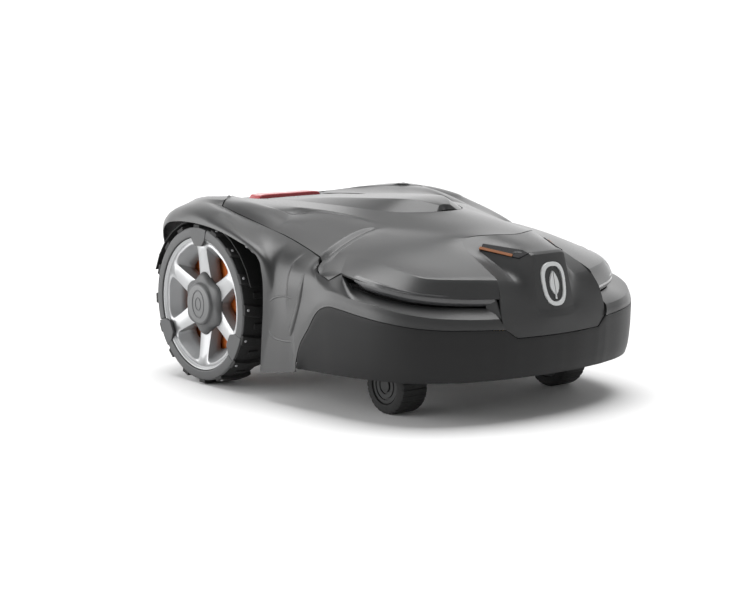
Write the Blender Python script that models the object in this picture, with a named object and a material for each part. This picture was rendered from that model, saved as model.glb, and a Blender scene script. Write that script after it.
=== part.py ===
"""Robotic lawn mower as an assembly of separate parts. Metres, +Z up, front towards -Y.

The chassis stands on two driven rear wheels and two front casters. Under it a height carriage
carries the cutting motor and the blade disc. The body (shell, hood, bumper) floats on four posts.
The origin is on the ground below the middle of the body.
"""

from math import cos, hypot, pi, radians, sin

import bmesh
import bpy
from mathutils import Matrix, Vector

GAP = 0.0003                 # clearance between pieces that touch
SKIN = 0.0028                # wall of the moulded body panels
SIDES = (("left", 1.0), ("right", -1.0))   # left is the mower's own left, +X

# Rear wheels
AXLE_Y = 0.1315
AXLE_Z = 0.101
WHEEL_OUTER_X = 0.2134       # outer face of the tyre
WHEEL_WIDTH = 0.046
TYRE_R = 0.097
LUG_HEIGHT = 0.004
LUG_COUNT = 16
RIM_R = 0.083
RIM_DEPTH = 0.022
SPOKES = 6
HUB_CAP_R = 0.026
ARCH_LENGTH = 0.110          # half axes of the liner's oval section
ARCH_HEIGHT = 0.1035

# Front casters
CASTER_X = 0.128
SWIVEL_Y = -0.178
CASTER_TRAIL = 0.025
CASTER_R = 0.034
CASTER_WIDTH = 0.034
STEM_R = 0.004

# Chassis
TUB_FLOOR_Z = 0.0735
TUB_RIM_Z = 0.1345
LID_TOP_Z = 0.148
TUB_WALL = 0.003
WELL_R = 0.056               # round opening for the height carriage

# Cutting gear, raised as for transport
DISC_Y = -0.015
DISC_Z = 0.055               # underside of the blade disc
DISC_R = 0.088
BLADE_PIVOT_R = 0.078
BLADE_LENGTH = 0.037
BLADE_WIDTH = 0.018
BLADE_THICKNESS = 0.001
SKID_R = 0.072
LIFT = 0.030                 # cutting height travel

LIFT_SCREW_Y = 0.056

# Console under the hatch
CONSOLE_Y = 0.045
CONSOLE_TOP_Z = 0.2
DIAL_Y = 0.005


def clear_scene():
    for obj in list(bpy.data.objects):
        bpy.data.objects.remove(obj, do_unlink=True)
    for mesh in list(bpy.data.meshes):
        bpy.data.meshes.remove(mesh)


MATERIALS = {
    "shell_grey": ((0.105, 0.107, 0.108), 0.38, 0.0),
    "bumper_grey": ((0.035, 0.035, 0.037), 0.55, 0.0),
    "black_plastic": ((0.012, 0.012, 0.013), 0.6, 0.0),
    "tyre_black": ((0.015, 0.015, 0.015), 0.8, 0.0),
    "tyre_grey": ((0.09, 0.09, 0.09), 0.6, 0.0),
    "rim_silver": ((0.55, 0.55, 0.56), 0.3, 0.8),
    "orange": ((0.6, 0.16, 0.03), 0.5, 0.0),
    "steel": ((0.5, 0.5, 0.5), 0.3, 1.0),
    "stop_red": ((0.55, 0.02, 0.03), 0.35, 0.0),
    "lamp": ((0.25, 0.25, 0.26), 0.15, 0.0),
    "board_green": ((0.02, 0.12, 0.05), 0.5, 0.0),
    "motor_grey": ((0.2, 0.2, 0.21), 0.4, 0.6),
    "copper": ((0.7, 0.45, 0.15), 0.3, 1.0),
    "seal": ((0.03, 0.03, 0.03), 0.8, 0.0),
}


def material(name):
    found = bpy.data.materials.get(name)
    if found:
        return found
    colour, roughness, metallic = MATERIALS[name]
    made = bpy.data.materials.new(name)
    made.use_nodes = True
    shader = made.node_tree.nodes["Principled BSDF"]
    shader.inputs["Base Color"].default_value = (*colour, 1.0)
    shader.inputs["Roughness"].default_value = roughness
    shader.inputs["Metallic"].default_value = metallic
    return made


def place(name, bm, finish, location=(0, 0, 0), rotation=None, parent=None):
    """Turn a bmesh into a named object with one material, and free the bmesh."""
    bmesh.ops.recalc_face_normals(bm, faces=bm.faces)
    mesh = bpy.data.meshes.new(name)
    bm.to_mesh(mesh)
    bm.free()
    mesh.shade_smooth()
    mesh.set_sharp_from_angle(angle=radians(35))
    mesh.materials.append(material(finish))
    obj = bpy.data.objects.new(name, mesh)
    bpy.context.scene.collection.objects.link(obj)
    obj.location = location
    if rotation:
        obj.rotation_euler = rotation
    if parent:
        obj.parent = parent
    return obj


def axis_empty(name, location):
    """An empty on a joint's axis, for the pieces that move with that joint."""
    empty = bpy.data.objects.new(name, None)
    empty.empty_display_size = 0.02
    empty.location = location
    bpy.context.scene.collection.objects.link(empty)
    return empty


def turned(profile, steps=32):
    """A solid turned round Z from (radius, z) points; a zero radius closes it on the axis."""
    bm = bmesh.new()
    rings = []
    for radius, z in profile:
        if radius < 1e-6:
            rings.append([bm.verts.new((0, 0, z))])
            continue
        ring = []
        for i in range(steps):
            angle = 2 * pi * i / steps
            ring.append(bm.verts.new((radius * cos(angle), radius * sin(angle), z)))
        rings.append(ring)
    closed = profile[0][0] > 1e-6
    pairs = list(zip(rings, rings[1:]))
    if closed:
        pairs.append((rings[-1], rings[0]))
    for lower, upper in pairs:
        bridge(bm, lower, upper, steps)
    return bm


def bridge(bm, lower, upper, steps):
    for i in range(steps):
        j = (i + 1) % steps
        if len(lower) == 1 and len(upper) == 1:
            return
        if len(lower) == 1:
            bm.faces.new((lower[0], upper[j], upper[i]))
        elif len(upper) == 1:
            bm.faces.new((lower[i], lower[j], upper[0]))
        else:
            bm.faces.new((lower[i], lower[j], upper[j], upper[i]))


def along_x(bm, sign=1.0):
    """Lay a solid turned round Z along X, its +Z end outwards on the given side."""
    bmesh.ops.rotate(bm, verts=bm.verts, matrix=Matrix.Rotation(sign * pi / 2, 3, "Y"))
    return bm


def prism(outline, bottom, top):
    """A straight-sided solid over a counter-clockwise XY outline."""
    bm = bmesh.new()
    base = bm.faces.new([bm.verts.new((x, y, bottom)) for x, y in outline])
    lifted = bmesh.ops.extrude_face_region(bm, geom=[base])
    moved = [item for item in lifted["geom"] if isinstance(item, bmesh.types.BMVert)]
    bmesh.ops.translate(bm, verts=moved, vec=(0, 0, top - bottom))
    return bm


def block(size, centre=(0, 0, 0), bevel=0.0):
    bm = bmesh.new()
    bmesh.ops.create_cube(bm, size=1.0)
    bmesh.ops.scale(bm, verts=bm.verts, vec=size)
    if bevel:
        bmesh.ops.bevel(bm, geom=bm.edges[:], offset=bevel, segments=1, affect="EDGES")
    bmesh.ops.translate(bm, verts=bm.verts, vec=centre)
    return bm


def mirrored_outline(half):
    """A closed outline from its +X half, listed front to rear."""
    other = [(-x, y) for x, y in reversed(half) if x > 1e-6]
    return half + other


def offset_outline(outline, distance):
    """Move a closed counter-clockwise outline outwards (or inwards, if negative)."""
    moved = []
    count = len(outline)
    for i, point in enumerate(outline):
        before = Vector(outline[i - 1])
        here = Vector(point)
        after = Vector(outline[(i + 1) % count])
        first = (here - before).normalized()
        second = (after - here).normalized()
        normal_a = Vector((first.y, -first.x))
        normal_b = Vector((second.y, -second.x))
        middle = (normal_a + normal_b).normalized()
        reach = distance / max(0.3, middle.dot(normal_a))
        moved.append(tuple(here + middle * reach))
    return moved


def cutter(name, bm, target, operation="DIFFERENCE"):
    """Take a bmesh away from an object with a Boolean that keeps its cutter."""
    obj = place(name, bm, "black_plastic")
    obj.hide_render = True
    obj.display_type = "WIRE"
    cut = target.modifiers.new(name, "BOOLEAN")
    cut.operation = operation
    cut.solver = "EXACT"
    cut.object = obj
    return obj


# ---------------------------------------------------------------- rear wheels

def tyre(side, sign, hub):
    inner = WHEEL_WIDTH / 2
    outer = inner
    bm = turned([
        (RIM_R + GAP, -inner), (TYRE_R - 0.004, -inner), (TYRE_R, -inner + 0.004),
        (TYRE_R, outer - 0.006), (TYRE_R - 0.003, outer - 0.001), (RIM_R + 0.006, outer),
        (RIM_R + GAP, outer - 0.002),
    ], 48)
    along_x(bm, sign)
    obj = place("tyre_" + side, bm, "tyre_black", location=(0, 0, 0), parent=hub)
    lugs = lug_ring(sign)
    cutter("lugs_" + side, lugs, obj, "UNION").parent = hub
    return obj


def lug_ring(sign):
    """Tread lugs, each one sunk into the tyre so that a union joins them."""
    bm = bmesh.new()
    for i in range(LUG_COUNT):
        angle = 2 * pi * i / LUG_COUNT
        lug = block((WHEEL_WIDTH * 0.46, 0.012, LUG_HEIGHT + 0.006))
        shift = WHEEL_WIDTH * (0.2 if i % 2 else -0.2) * sign
        middle = TYRE_R + LUG_HEIGHT - (LUG_HEIGHT + 0.006) / 2
        bmesh.ops.translate(lug, verts=lug.verts, vec=(shift, 0, -middle))
        bmesh.ops.rotate(lug, verts=lug.verts, matrix=Matrix.Rotation(angle, 3, "X"))
        append(bm, lug)
    return bm


def append(bm, other):
    """Copy one bmesh's geometry into another, and free the source."""
    copies = {v: bm.verts.new(v.co) for v in other.verts}
    for face in other.faces:
        bm.faces.new([copies[v] for v in face.verts])
    other.free()


def rim(side, sign, hub):
    """A dished disc with six wedge-shaped windows between its spokes."""
    half = WHEEL_WIDTH / 2
    bm = turned([
        (0.0065, half - RIM_DEPTH), (0.03, half - RIM_DEPTH), (RIM_R - 0.006, half - RIM_DEPTH - 0.006),
        (RIM_R, half - RIM_DEPTH - 0.006), (RIM_R, half - 0.003), (RIM_R - 0.003, half - 0.003),
        (0.03, half - 0.012), (0.0065, half - 0.012),
    ], 48)
    along_x(bm, sign)
    obj = place("rim_" + side, bm, "rim_silver", parent=hub)
    cutter("windows_" + side, window_set(sign), obj).parent = hub
    return obj


def window_set(sign):
    bm = bmesh.new()
    for i in range(SPOKES):
        angle = 2 * pi * (i + 0.5) / SPOKES
        wedge = prism([(0.034, 0), (0.068, -0.024), (0.074, 0), (0.068, 0.024)], -0.05, 0.05)
        bmesh.ops.rotate(wedge, verts=wedge.verts, matrix=Matrix.Rotation(angle, 3, "Z"))
        along_x(wedge, sign)
        append(bm, wedge)
    return bm


def hub_parts(side, sign, hub):
    half = WHEEL_WIDTH / 2
    back = half - RIM_DEPTH - 0.0075
    disc = turned([(0.0065, back - 0.002), (0.07, back - 0.002), (0.07, back), (0.0065, back)], 36)
    place("hub_disc_" + side, along_x(disc, sign), "orange", parent=hub)
    face = half - 0.012 + GAP
    cap = turned([(0, face + 0.0105), (0.015, face + 0.0105), (HUB_CAP_R - 0.004, face + 0.007),
                  (HUB_CAP_R, face + 0.002), (HUB_CAP_R, face), (0, face)], 24)
    place("hub_cap_" + side, along_x(cap, sign), "black_plastic", parent=hub)
    inner = 0.1535 - (WHEEL_OUTER_X - half)
    shaft = turned([(0, inner), (0.006, inner), (0.006, face - 2 * GAP), (0, face - 2 * GAP)], 16)
    place("axle_" + side, along_x(shaft, sign), "steel", parent=hub)


def rear_wheels():
    for side, sign in SIDES:
        centre = (sign * (WHEEL_OUTER_X - WHEEL_WIDTH / 2), AXLE_Y, AXLE_Z)
        hub = axis_empty("wheel_axis_" + side, centre)
        tyre(side, sign, hub)
        rim(side, sign, hub)
        hub_parts(side, sign, hub)
        motor = turned([(0, 0.092), (0.024, 0.092), (0.024, 0.1455), (0.034, 0.1455),
                        (0.034, 0.149), (0.012, 0.149), (0.012, 0.153), (0, 0.153)], 24)
        place("wheel_motor_" + side, along_x(motor, sign), "motor_grey", location=(0, AXLE_Y, AXLE_Z))


# ------------------------------------------------------------------- casters

def caster(side, sign):
    x = sign * CASTER_X
    swivel = axis_empty("swivel_axis_" + side, (x, SWIVEL_Y, CASTER_R))
    place("caster_fork_" + side, fork(sign), "black_plastic", parent=swivel)
    axle = (x, SWIVEL_Y + CASTER_TRAIL, CASTER_R)
    spin = axis_empty("caster_axis_" + side, axle)
    half = CASTER_WIDTH / 2
    tread = turned([(0.0222, -half), (CASTER_R - 0.003, -half), (CASTER_R, -half + 0.004),
                    (CASTER_R, half - 0.004), (CASTER_R - 0.003, half), (0.0222, half)], 32)
    place("caster_tyre_" + side, along_x(tread, sign), "tyre_black", parent=spin)
    core = turned([(0.0045, -half + 0.002), (0.0219, -half + 0.002), (0.0219, half - 0.002),
                   (0.008, half - 0.002), (0.006, half - 0.004), (0, half - 0.004),
                   (0, half - 0.008), (0.0045, half - 0.008)], 24)
    place("caster_hub_" + side, along_x(core, sign), "black_plastic", parent=spin)
    bush = turned([(STEM_R + GAP, 0), (0.0088, 0), (0.0088, 0.022), (STEM_R + GAP, 0.022)], 20)
    place("caster_bearing_" + side, bush, "steel", location=(x, SWIVEL_Y, 0.0748))


def fork(sign):
    """Stem, top arm and side arm in one piece, with the wheel's pin; the arm is inboard."""
    inboard = -sign
    arm_x = inboard * (CASTER_WIDTH / 2 + 0.004)
    top = 0.0385
    stem = turned([(0, top - 0.003), (STEM_R, top - 0.003), (STEM_R, top + 0.026), (0, top + 0.026)], 16)
    bm = stem
    fork_profile = [
        (-0.009, top), (-0.009, top - 0.0022), (0.012, top - 0.008), (0.019, -0.009),
        (0.031, -0.009), (0.031, 0.008), (0.016, top - 0.002), (0.009, top),
    ]
    side_arm = bmesh.new()
    verts = [side_arm.verts.new((arm_x - 0.0025, y, z)) for y, z in fork_profile]
    face = side_arm.faces.new(verts)
    grown = bmesh.ops.extrude_face_region(side_arm, geom=[face])
    moved = [item for item in grown["geom"] if isinstance(item, bmesh.types.BMVert)]
    bmesh.ops.translate(side_arm, verts=moved, vec=(0.005, 0, 0))
    plate = block((abs(arm_x) + 0.0105, 0.018, 0.0026), (arm_x / 2 - inboard * 0.0025, 0, top - 0.0016))
    pin = turned([(0, -CASTER_WIDTH / 2 - 0.004), (0.0042, -CASTER_WIDTH / 2 - 0.004),
                  (0.0042, CASTER_WIDTH / 2 - 0.0085), (0, CASTER_WIDTH / 2 - 0.0085)], 16)
    along_x(pin, sign)
    bmesh.ops.translate(pin, verts=pin.verts, vec=(0, CASTER_TRAIL, 0))
    return union_all([bm, side_arm, plate, pin])


def union_all(solids):
    """Join overlapping solids into one body with Boolean unions."""
    objects = [place("union_piece", bm, "black_plastic") for bm in solids]
    first = objects[0]
    for other in objects[1:]:
        join = first.modifiers.new("join", "BOOLEAN")
        join.operation = "UNION"
        join.solver = "EXACT"
        join.object = other
    bpy.context.view_layer.update()
    evaluated = first.evaluated_get(bpy.context.evaluated_depsgraph_get())
    bm = bmesh.new()
    bm.from_mesh(evaluated.to_mesh())
    evaluated.to_mesh_clear()
    for obj in objects:
        bpy.data.objects.remove(obj, do_unlink=True)
    return bm


# ------------------------------------------------------------------- chassis

TUB_HALF = [(0, -0.236), (0.085, -0.230), (0.142, -0.198), (0.158, -0.165), (0.158, -0.045),
            (0.145, -0.010), (0.145, 0.225), (0.12, 0.248), (0, 0.256)]


def chassis():
    outline = mirrored_outline(TUB_HALF)
    tub = place("chassis_tub", prism(outline, TUB_FLOOR_Z, TUB_RIM_Z), "black_plastic")
    cavity = prism(offset_outline(outline, -TUB_WALL), TUB_FLOOR_Z + TUB_WALL, TUB_RIM_Z + 0.01)
    cutter("tub_cavity", cavity, tub)
    well = turned([(0, -0.05), (WELL_R, -0.05), (WELL_R, 0.05), (0, 0.05)], 32)
    cutter("tub_well", well, tub).location = (0, DISC_Y, TUB_FLOOR_Z)
    for side, sign in SIDES:
        hole = turned([(0, 0.12), (0.0245, 0.12), (0.0245, 0.17), (0, 0.17)], 24)
        cutter("motor_hole_" + side, along_x(hole, sign), tub).location = (0, AXLE_Y, AXLE_Z)
        seat = turned([(0, -0.02), (0.0091, -0.02), (0.0091, 0.02), (0, 0.02)], 20)
        cutter("bearing_hole_" + side, seat, tub).location = (sign * CASTER_X, SWIVEL_Y, TUB_FLOOR_Z)
    seal_outer = offset_outline(outline, 0.0)
    seal = place("hull_seal", prism(seal_outer, TUB_RIM_Z + GAP, TUB_RIM_Z + 0.0018), "seal")
    inside = prism(offset_outline(outline, -TUB_WALL), TUB_RIM_Z - 0.01, TUB_RIM_Z + 0.01)
    cutter("seal_opening", inside, seal)
    chassis_lid(outline)
    chassis_contents()


def chassis_lid(outline):
    lid = place("chassis_lid", prism(outline, TUB_RIM_Z + 0.0021, LID_TOP_Z), "black_plastic")
    console = prism(mirrored_outline([(0, CONSOLE_Y - 0.075), (0.06, CONSOLE_Y - 0.07),
                                      (0.064, CONSOLE_Y + 0.06), (0, CONSOLE_Y + 0.063)]),
                    LID_TOP_Z - 0.006, CONSOLE_TOP_Z)
    cutter("console", console, lid, "UNION")
    hollow = prism(offset_outline(outline, -0.006), TUB_RIM_Z - 0.01, LID_TOP_Z - 0.003)
    cutter("lid_hollow", hollow, lid)
    room = prism(mirrored_outline([(0, CONSOLE_Y - 0.071), (0.056, CONSOLE_Y - 0.066),
                                   (0.060, CONSOLE_Y + 0.056), (0, CONSOLE_Y + 0.059)]),
                 LID_TOP_Z - 0.01, CONSOLE_TOP_Z - 0.012)
    cutter("console_hollow", room, lid)
    dial_seat = turned([(0, -0.008), (0.0175, -0.008), (0.0175, 0.01), (0, 0.01)], 24)
    cutter("dial_seat", dial_seat, lid).location = (0, DIAL_Y, CONSOLE_TOP_Z)
    button_seat = turned([(0, -0.004), (0.0083, -0.004), (0.0083, 0.01), (0, 0.01)], 20)
    cutter("button_seat", button_seat, lid).location = (0.042, DIAL_Y, CONSOLE_TOP_Z)


def chassis_contents():
    floor = TUB_FLOOR_Z + TUB_WALL + GAP
    place("battery_pack", block((0.13, 0.066, 0.042), (0, 0.205, floor + 0.021), 0.003), "board_green")
    cover_low = TUB_FLOOR_Z - GAP - 0.003
    place("battery_cover", block((0.15, 0.085, 0.003), (0, 0.2, cover_low + 0.0015), 0.001), "black_plastic")
    place("main_board", block((0.12, 0.08, 0.0035), (0, -0.13, floor + 0.012), 0.001), "board_green")
    base = block((0.030, 0.026, 0.012), (0, LIFT_SCREW_Y, floor + 0.006), 0.002)
    screw = turned([(0, floor + 0.01), (0.003, floor + 0.01), (0.003, TUB_RIM_Z - 0.001), (0, TUB_RIM_Z - 0.001)], 12)
    bmesh.ops.translate(screw, verts=screw.verts, vec=(0, LIFT_SCREW_Y, 0))
    place("lift_actuator", union_all([base, screw]), "motor_grey")
    for side, sign in SIDES:
        contact = block((0.022, 0.0022, 0.014), (sign * 0.045, -0.2372, 0.096), 0.0006)
        bmesh.ops.rotate(contact, verts=contact.verts, cent=(sign * 0.045, -0.2372, 0.096),
                         matrix=Matrix.Rotation(sign * radians(4), 3, "Z"))
        place("charging_contact_" + side, contact, "copper")
    place("display_unit", block((0.086, 0.052, 0.008), (0, CONSOLE_Y + 0.022, CONSOLE_TOP_Z + 0.0043), 0.002), "lamp")
    dial = turned([(0, -0.007), (0.017, -0.007), (0.017, 0.002), (0.0155, 0.0045), (0, 0.0045)], 24)
    place("jog_dial", dial, "black_plastic", location=(0, DIAL_Y, CONSOLE_TOP_Z))
    button = turned([(0, -0.0015), (0.008, -0.0015), (0.008, 0.0018), (0.0065, 0.0028), (0, 0.0028)], 20)
    place("start_button", button, "tyre_grey", location=(0.042, DIAL_Y, CONSOLE_TOP_Z))


# -------------------------------------------------------------- cutting gear

def cutting_gear():
    top = TUB_FLOOR_Z + 0.048
    deck = DISC_Z + 0.0075
    carriage = turned([(0.0235, deck), (0.05, deck), (0.05, deck + 0.004), (0.0275, deck + 0.012),
                       (0.0275, top - 0.004), (0.03, top - 0.004), (0.03, top), (0.0235, top)], 32)
    place("height_carriage", carriage, "black_plastic", location=(0, DISC_Y, 0))
    motor = turned([(0, deck + 0.004), (0.0232, deck + 0.004), (0.0232, top + 0.003), (0, top + 0.003)], 24)
    place("cutting_motor", motor, "motor_grey", location=(0, DISC_Y, 0))
    arm = place("lift_arm", block((0.014, 0.0535, 0.004), (0, 0.0363, top + 0.0023), 0.001), "steel")
    bore = turned([(0, -0.01), (0.0034, -0.01), (0.0034, 0.01), (0, 0.01)], 16)
    cutter("lift_bore", bore, arm).location = (0, LIFT_SCREW_Y, top)
    spin = axis_empty("disc_axis", (0, DISC_Y, DISC_Z))
    disc = turned([(0.0045, 0), (DISC_R, 0), (DISC_R, 0.0045), (DISC_R - 0.002, 0.0045),
                   (DISC_R - 0.004, 0.002), (0.02, 0.002), (0.016, 0.005), (0.0045, 0.005)], 40)
    place("blade_disc", disc, "steel", parent=spin)
    bolt = turned([(0, -0.0035), (0.012, -0.0035), (0.012, -0.0005), (0.0042, -0.0005),
                   (0.0042, 0.0068), (0, 0.0068)], 20)
    place("disc_bolt", bolt, "steel", parent=spin)
    skid = turned([(0, -0.0075), (SKID_R - 0.006, -0.0075), (SKID_R, -0.0055), (SKID_R, -0.0043),
                   (0, -0.0043)], 36)
    place("skid_plate", skid, "black_plastic", parent=spin)
    for i in range(3):
        blade(i)


def blade(i):
    angle = pi / 2 + 2 * pi * i / 3
    pivot = Vector((BLADE_PIVOT_R * cos(angle), BLADE_PIVOT_R * sin(angle), 0))
    where = Vector((0, DISC_Y, DISC_Z)) + pivot
    pin = axis_empty("blade_axis_%d" % (i + 1), where)
    low = -0.0031
    half = BLADE_WIDTH / 2
    back = -0.0065
    outline = [(back, -half), (BLADE_LENGTH + back - 0.003, -half), (BLADE_LENGTH + back, -half + 0.003),
               (BLADE_LENGTH + back, half - 0.003), (BLADE_LENGTH + back - 0.003, half), (back, half)]
    obj = place("blade_%d" % (i + 1), prism(outline, low, low + BLADE_THICKNESS), "steel", parent=pin)
    obj.rotation_euler = (0, 0, angle)
    hole = turned([(0, -0.01), (0.0026, -0.01), (0.0026, 0.01), (0, 0.01)], 12)
    cutter("blade_hole_%d" % (i + 1), hole, obj).parent = pin
    screw = turned([(0, low - 0.0009), (0.0045, low - 0.0009), (0.0045, low - GAP),
                    (0.0022, low - GAP), (0.0022, -GAP), (0, -GAP)], 12)
    place("blade_screw_%d" % (i + 1), screw, "steel", parent=pin)


# ---------------------------------------------------------------- body panels
# Each row runs from the front middle round the +X side; the other half is mirrored.

SEAM = [(0, -0.2905, 0.0965), (0.065, -0.285, 0.0972), (0.081, -0.282, 0.1078),
        (0.122, -0.269, 0.110), (0.151, -0.254, 0.111), (0.178, -0.2305, 0.1142),
        (0.1945, -0.2025, 0.1185), (0.2055, -0.163, 0.1245), (0.2108, -0.126, 0.1282),
        (0.2120, -0.109, 0.118), (0.2128, -0.0917, 0.097), (0.2134, -0.0735, 0.067)]
BUMPER_LOW = [(0, -0.284, 0.051), (0.065, -0.2785, 0.051), (0.081, -0.2755, 0.051),
              (0.120, -0.264, 0.051), (0.147, -0.249, 0.051), (0.171, -0.2275, 0.051),
              (0.188, -0.198, 0.051), (0.1985, -0.162, 0.0505), (0.2035, -0.126, 0.0495),
              (0.2052, -0.107, 0.049), (0.2062, -0.092, 0.0485), (0.2070, -0.0775, 0.048)]


def panel(name, strips, finish, thickness=SKIN):
    """A moulded panel from strips of rows of points, mirrored and given its wall inwards."""
    bm = bmesh.new()
    corners = {}

    def vert(point):
        key = tuple(round(value, 5) for value in point)
        if key not in corners:
            corners[key] = bm.verts.new(key)
        return corners[key]

    for rows in strips:
        for lower, upper in zip(rows, rows[1:]):
            for i in range(len(lower) - 1):
                loop = [vert(lower[i]), vert(lower[i + 1]), vert(upper[i + 1]), vert(upper[i])]
                loop = [v for k, v in enumerate(loop) if v is not loop[k - 1]]
                if len(loop) > 2:
                    bm.faces.new(loop)
    mesh = bpy.data.meshes.new(name)
    bm.to_mesh(mesh)
    bm.free()
    mesh.materials.append(material(finish))
    obj = bpy.data.objects.new(name, mesh)
    bpy.context.scene.collection.objects.link(obj)
    mirror = obj.modifiers.new("mirror", "MIRROR")
    mirror.use_clip = True
    mirror.merge_threshold = 0.0001
    wall = obj.modifiers.new("wall", "SOLIDIFY")
    wall.thickness = thickness
    wall.offset = -1.0
    return obj


def shifted(row, inward=0.0, up=0.0):
    """A row moved towards the body's middle and upwards."""
    moved = []
    for x, y, z in row:
        size = max(0.05, hypot(x, y))
        moved.append((x - inward * x / size, y - inward * y / size, z + up))
    return moved


def bumper():
    middle = [tuple(a * 0.35 + b * 0.65 for a, b in zip(low, top)) for low, top in zip(BUMPER_LOW, SEAM)]
    panel("bumper", [[BUMPER_LOW, middle, SEAM]], "bumper_grey")


def body_shell():
    """Nose, ledge, side pillars, wings over the rear wheels and the tail, as one moulding."""
    gap = 0.0024
    seam = [(x, y, z + gap) for x, y, z in SEAM[:9]]
    seam += [(x, y + gap, z + gap) for x, y, z in SEAM[9:]]
    side_low = [(0.2095, -0.064, 0.036), (0.2105, -0.02, 0.033), (0.2120, -0.003, 0.034),
                (0.2125, -0.002, 0.09), (0.2135, 0.001, 0.150), (0.2140, 0.020, 0.178),
                (0.2145, 0.055, 0.195), (0.2150, 0.095, 0.203), (0.2150, 0.135, 0.2065),
                (0.2145, 0.175, 0.2035), (0.2110, 0.215, 0.192)]
    rear_low = [(0.196, 0.238, 0.182), (0.162, 0.262, 0.170), (0.150, 0.270, 0.070),
                (0.10, 0.281, 0.066), (0, 0.286, 0.066)]
    low = seam + side_low + rear_low
    ledge = [(0, -0.2870, 0.118), (0.066, -0.2805, 0.120), (0.0891, -0.2757, 0.1202),
             (0.130, -0.2609, 0.1226), (0.1619, -0.2409, 0.1257), (0.1824, -0.2173, 0.1303),
             (0.1963, -0.1855, 0.1372), (0.2039, -0.1502, 0.1426), (0.2070, -0.1231, 0.1468),
             (0.2090, -0.103, 0.140), (0.2105, -0.085, 0.125), (0.2115, -0.066, 0.105)]
    side_mid = [(0.2105, -0.055, 0.100), (0.2110, -0.025, 0.110), (0.2115, -0.012, 0.125),
                (0.2120, -0.010, 0.150), (0.2130, -0.008, 0.178), (0.2130, 0.015, 0.193),
                (0.2120, 0.052, 0.207), (0.2115, 0.093, 0.2165), (0.2115, 0.135, 0.2205),
                (0.2105, 0.178, 0.2165), (0.2055, 0.218, 0.204)]
    rear_mid = [(0.190, 0.242, 0.198), (0.160, 0.268, 0.192), (0.148, 0.276, 0.150),
                (0.10, 0.2885, 0.150), (0, 0.2925, 0.150)]
    middle = ledge + side_mid + rear_mid
    upper = [(0, -0.2648, 0.1867), (0.066, -0.262, 0.150), (0.0902, -0.263, 0.1321),
             (0.120, -0.252, 0.1340), (0.1415, -0.2409, 0.1353), (0.1652, -0.2209, 0.1384),
             (0.1814, -0.1919, 0.1445), (0.1918, -0.1499, 0.1533), (0.1965, -0.1200, 0.1600),
             (0.1920, -0.105, 0.160), (0.1945, -0.0900, 0.1730), (0.1925, -0.066, 0.1865),
             (0.1905, -0.050, 0.1905), (0.1885, -0.030, 0.1950), (0.1875, -0.015, 0.1975),
             (0.1860, 0.000, 0.2005), (0.1850, 0.010, 0.2025), (0.1820, 0.030, 0.2065),
             (0.1790, 0.060, 0.2125), (0.1765, 0.092, 0.2180), (0.1735, 0.120, 0.2225),
             (0.1700, 0.137, 0.2290), (0.1500, 0.165, 0.2300),
             (0.130, 0.185, 0.2285), (0.108, 0.210, 0.2245), (0.0945, 0.236, 0.2195),
             (0.080, 0.264, 0.2140), (0, 0.2680, 0.2130)]
    crown = [middle[20], (0.1930, 0.148, 0.2335), (0.1900, 0.185, 0.2290),
             (0.178, 0.215, 0.2180), (0.150, 0.245, 0.2080), (0.120, 0.262, 0.2030),
             (0.085, 0.274, 0.2000), (0, 0.2795, 0.1990)]
    fan = [middle[20:], crown, upper[20:]]
    panel("body_shell", [[low, middle], [middle[:21], upper[:21]], fan, nose_rows(upper)],
          "shell_grey")


def nose_rows(upper):
    """The nose panel rises from the ledge row to the front edge of the hood."""
    boss = [upper[0], upper[1], (0.0640, -0.2585, 0.1460)]
    edge = [(0, -0.2395, 0.1945), (0.042, -0.2400, 0.1870), (0.0620, -0.2420, 0.1650)]
    return [boss, edge]


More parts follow.
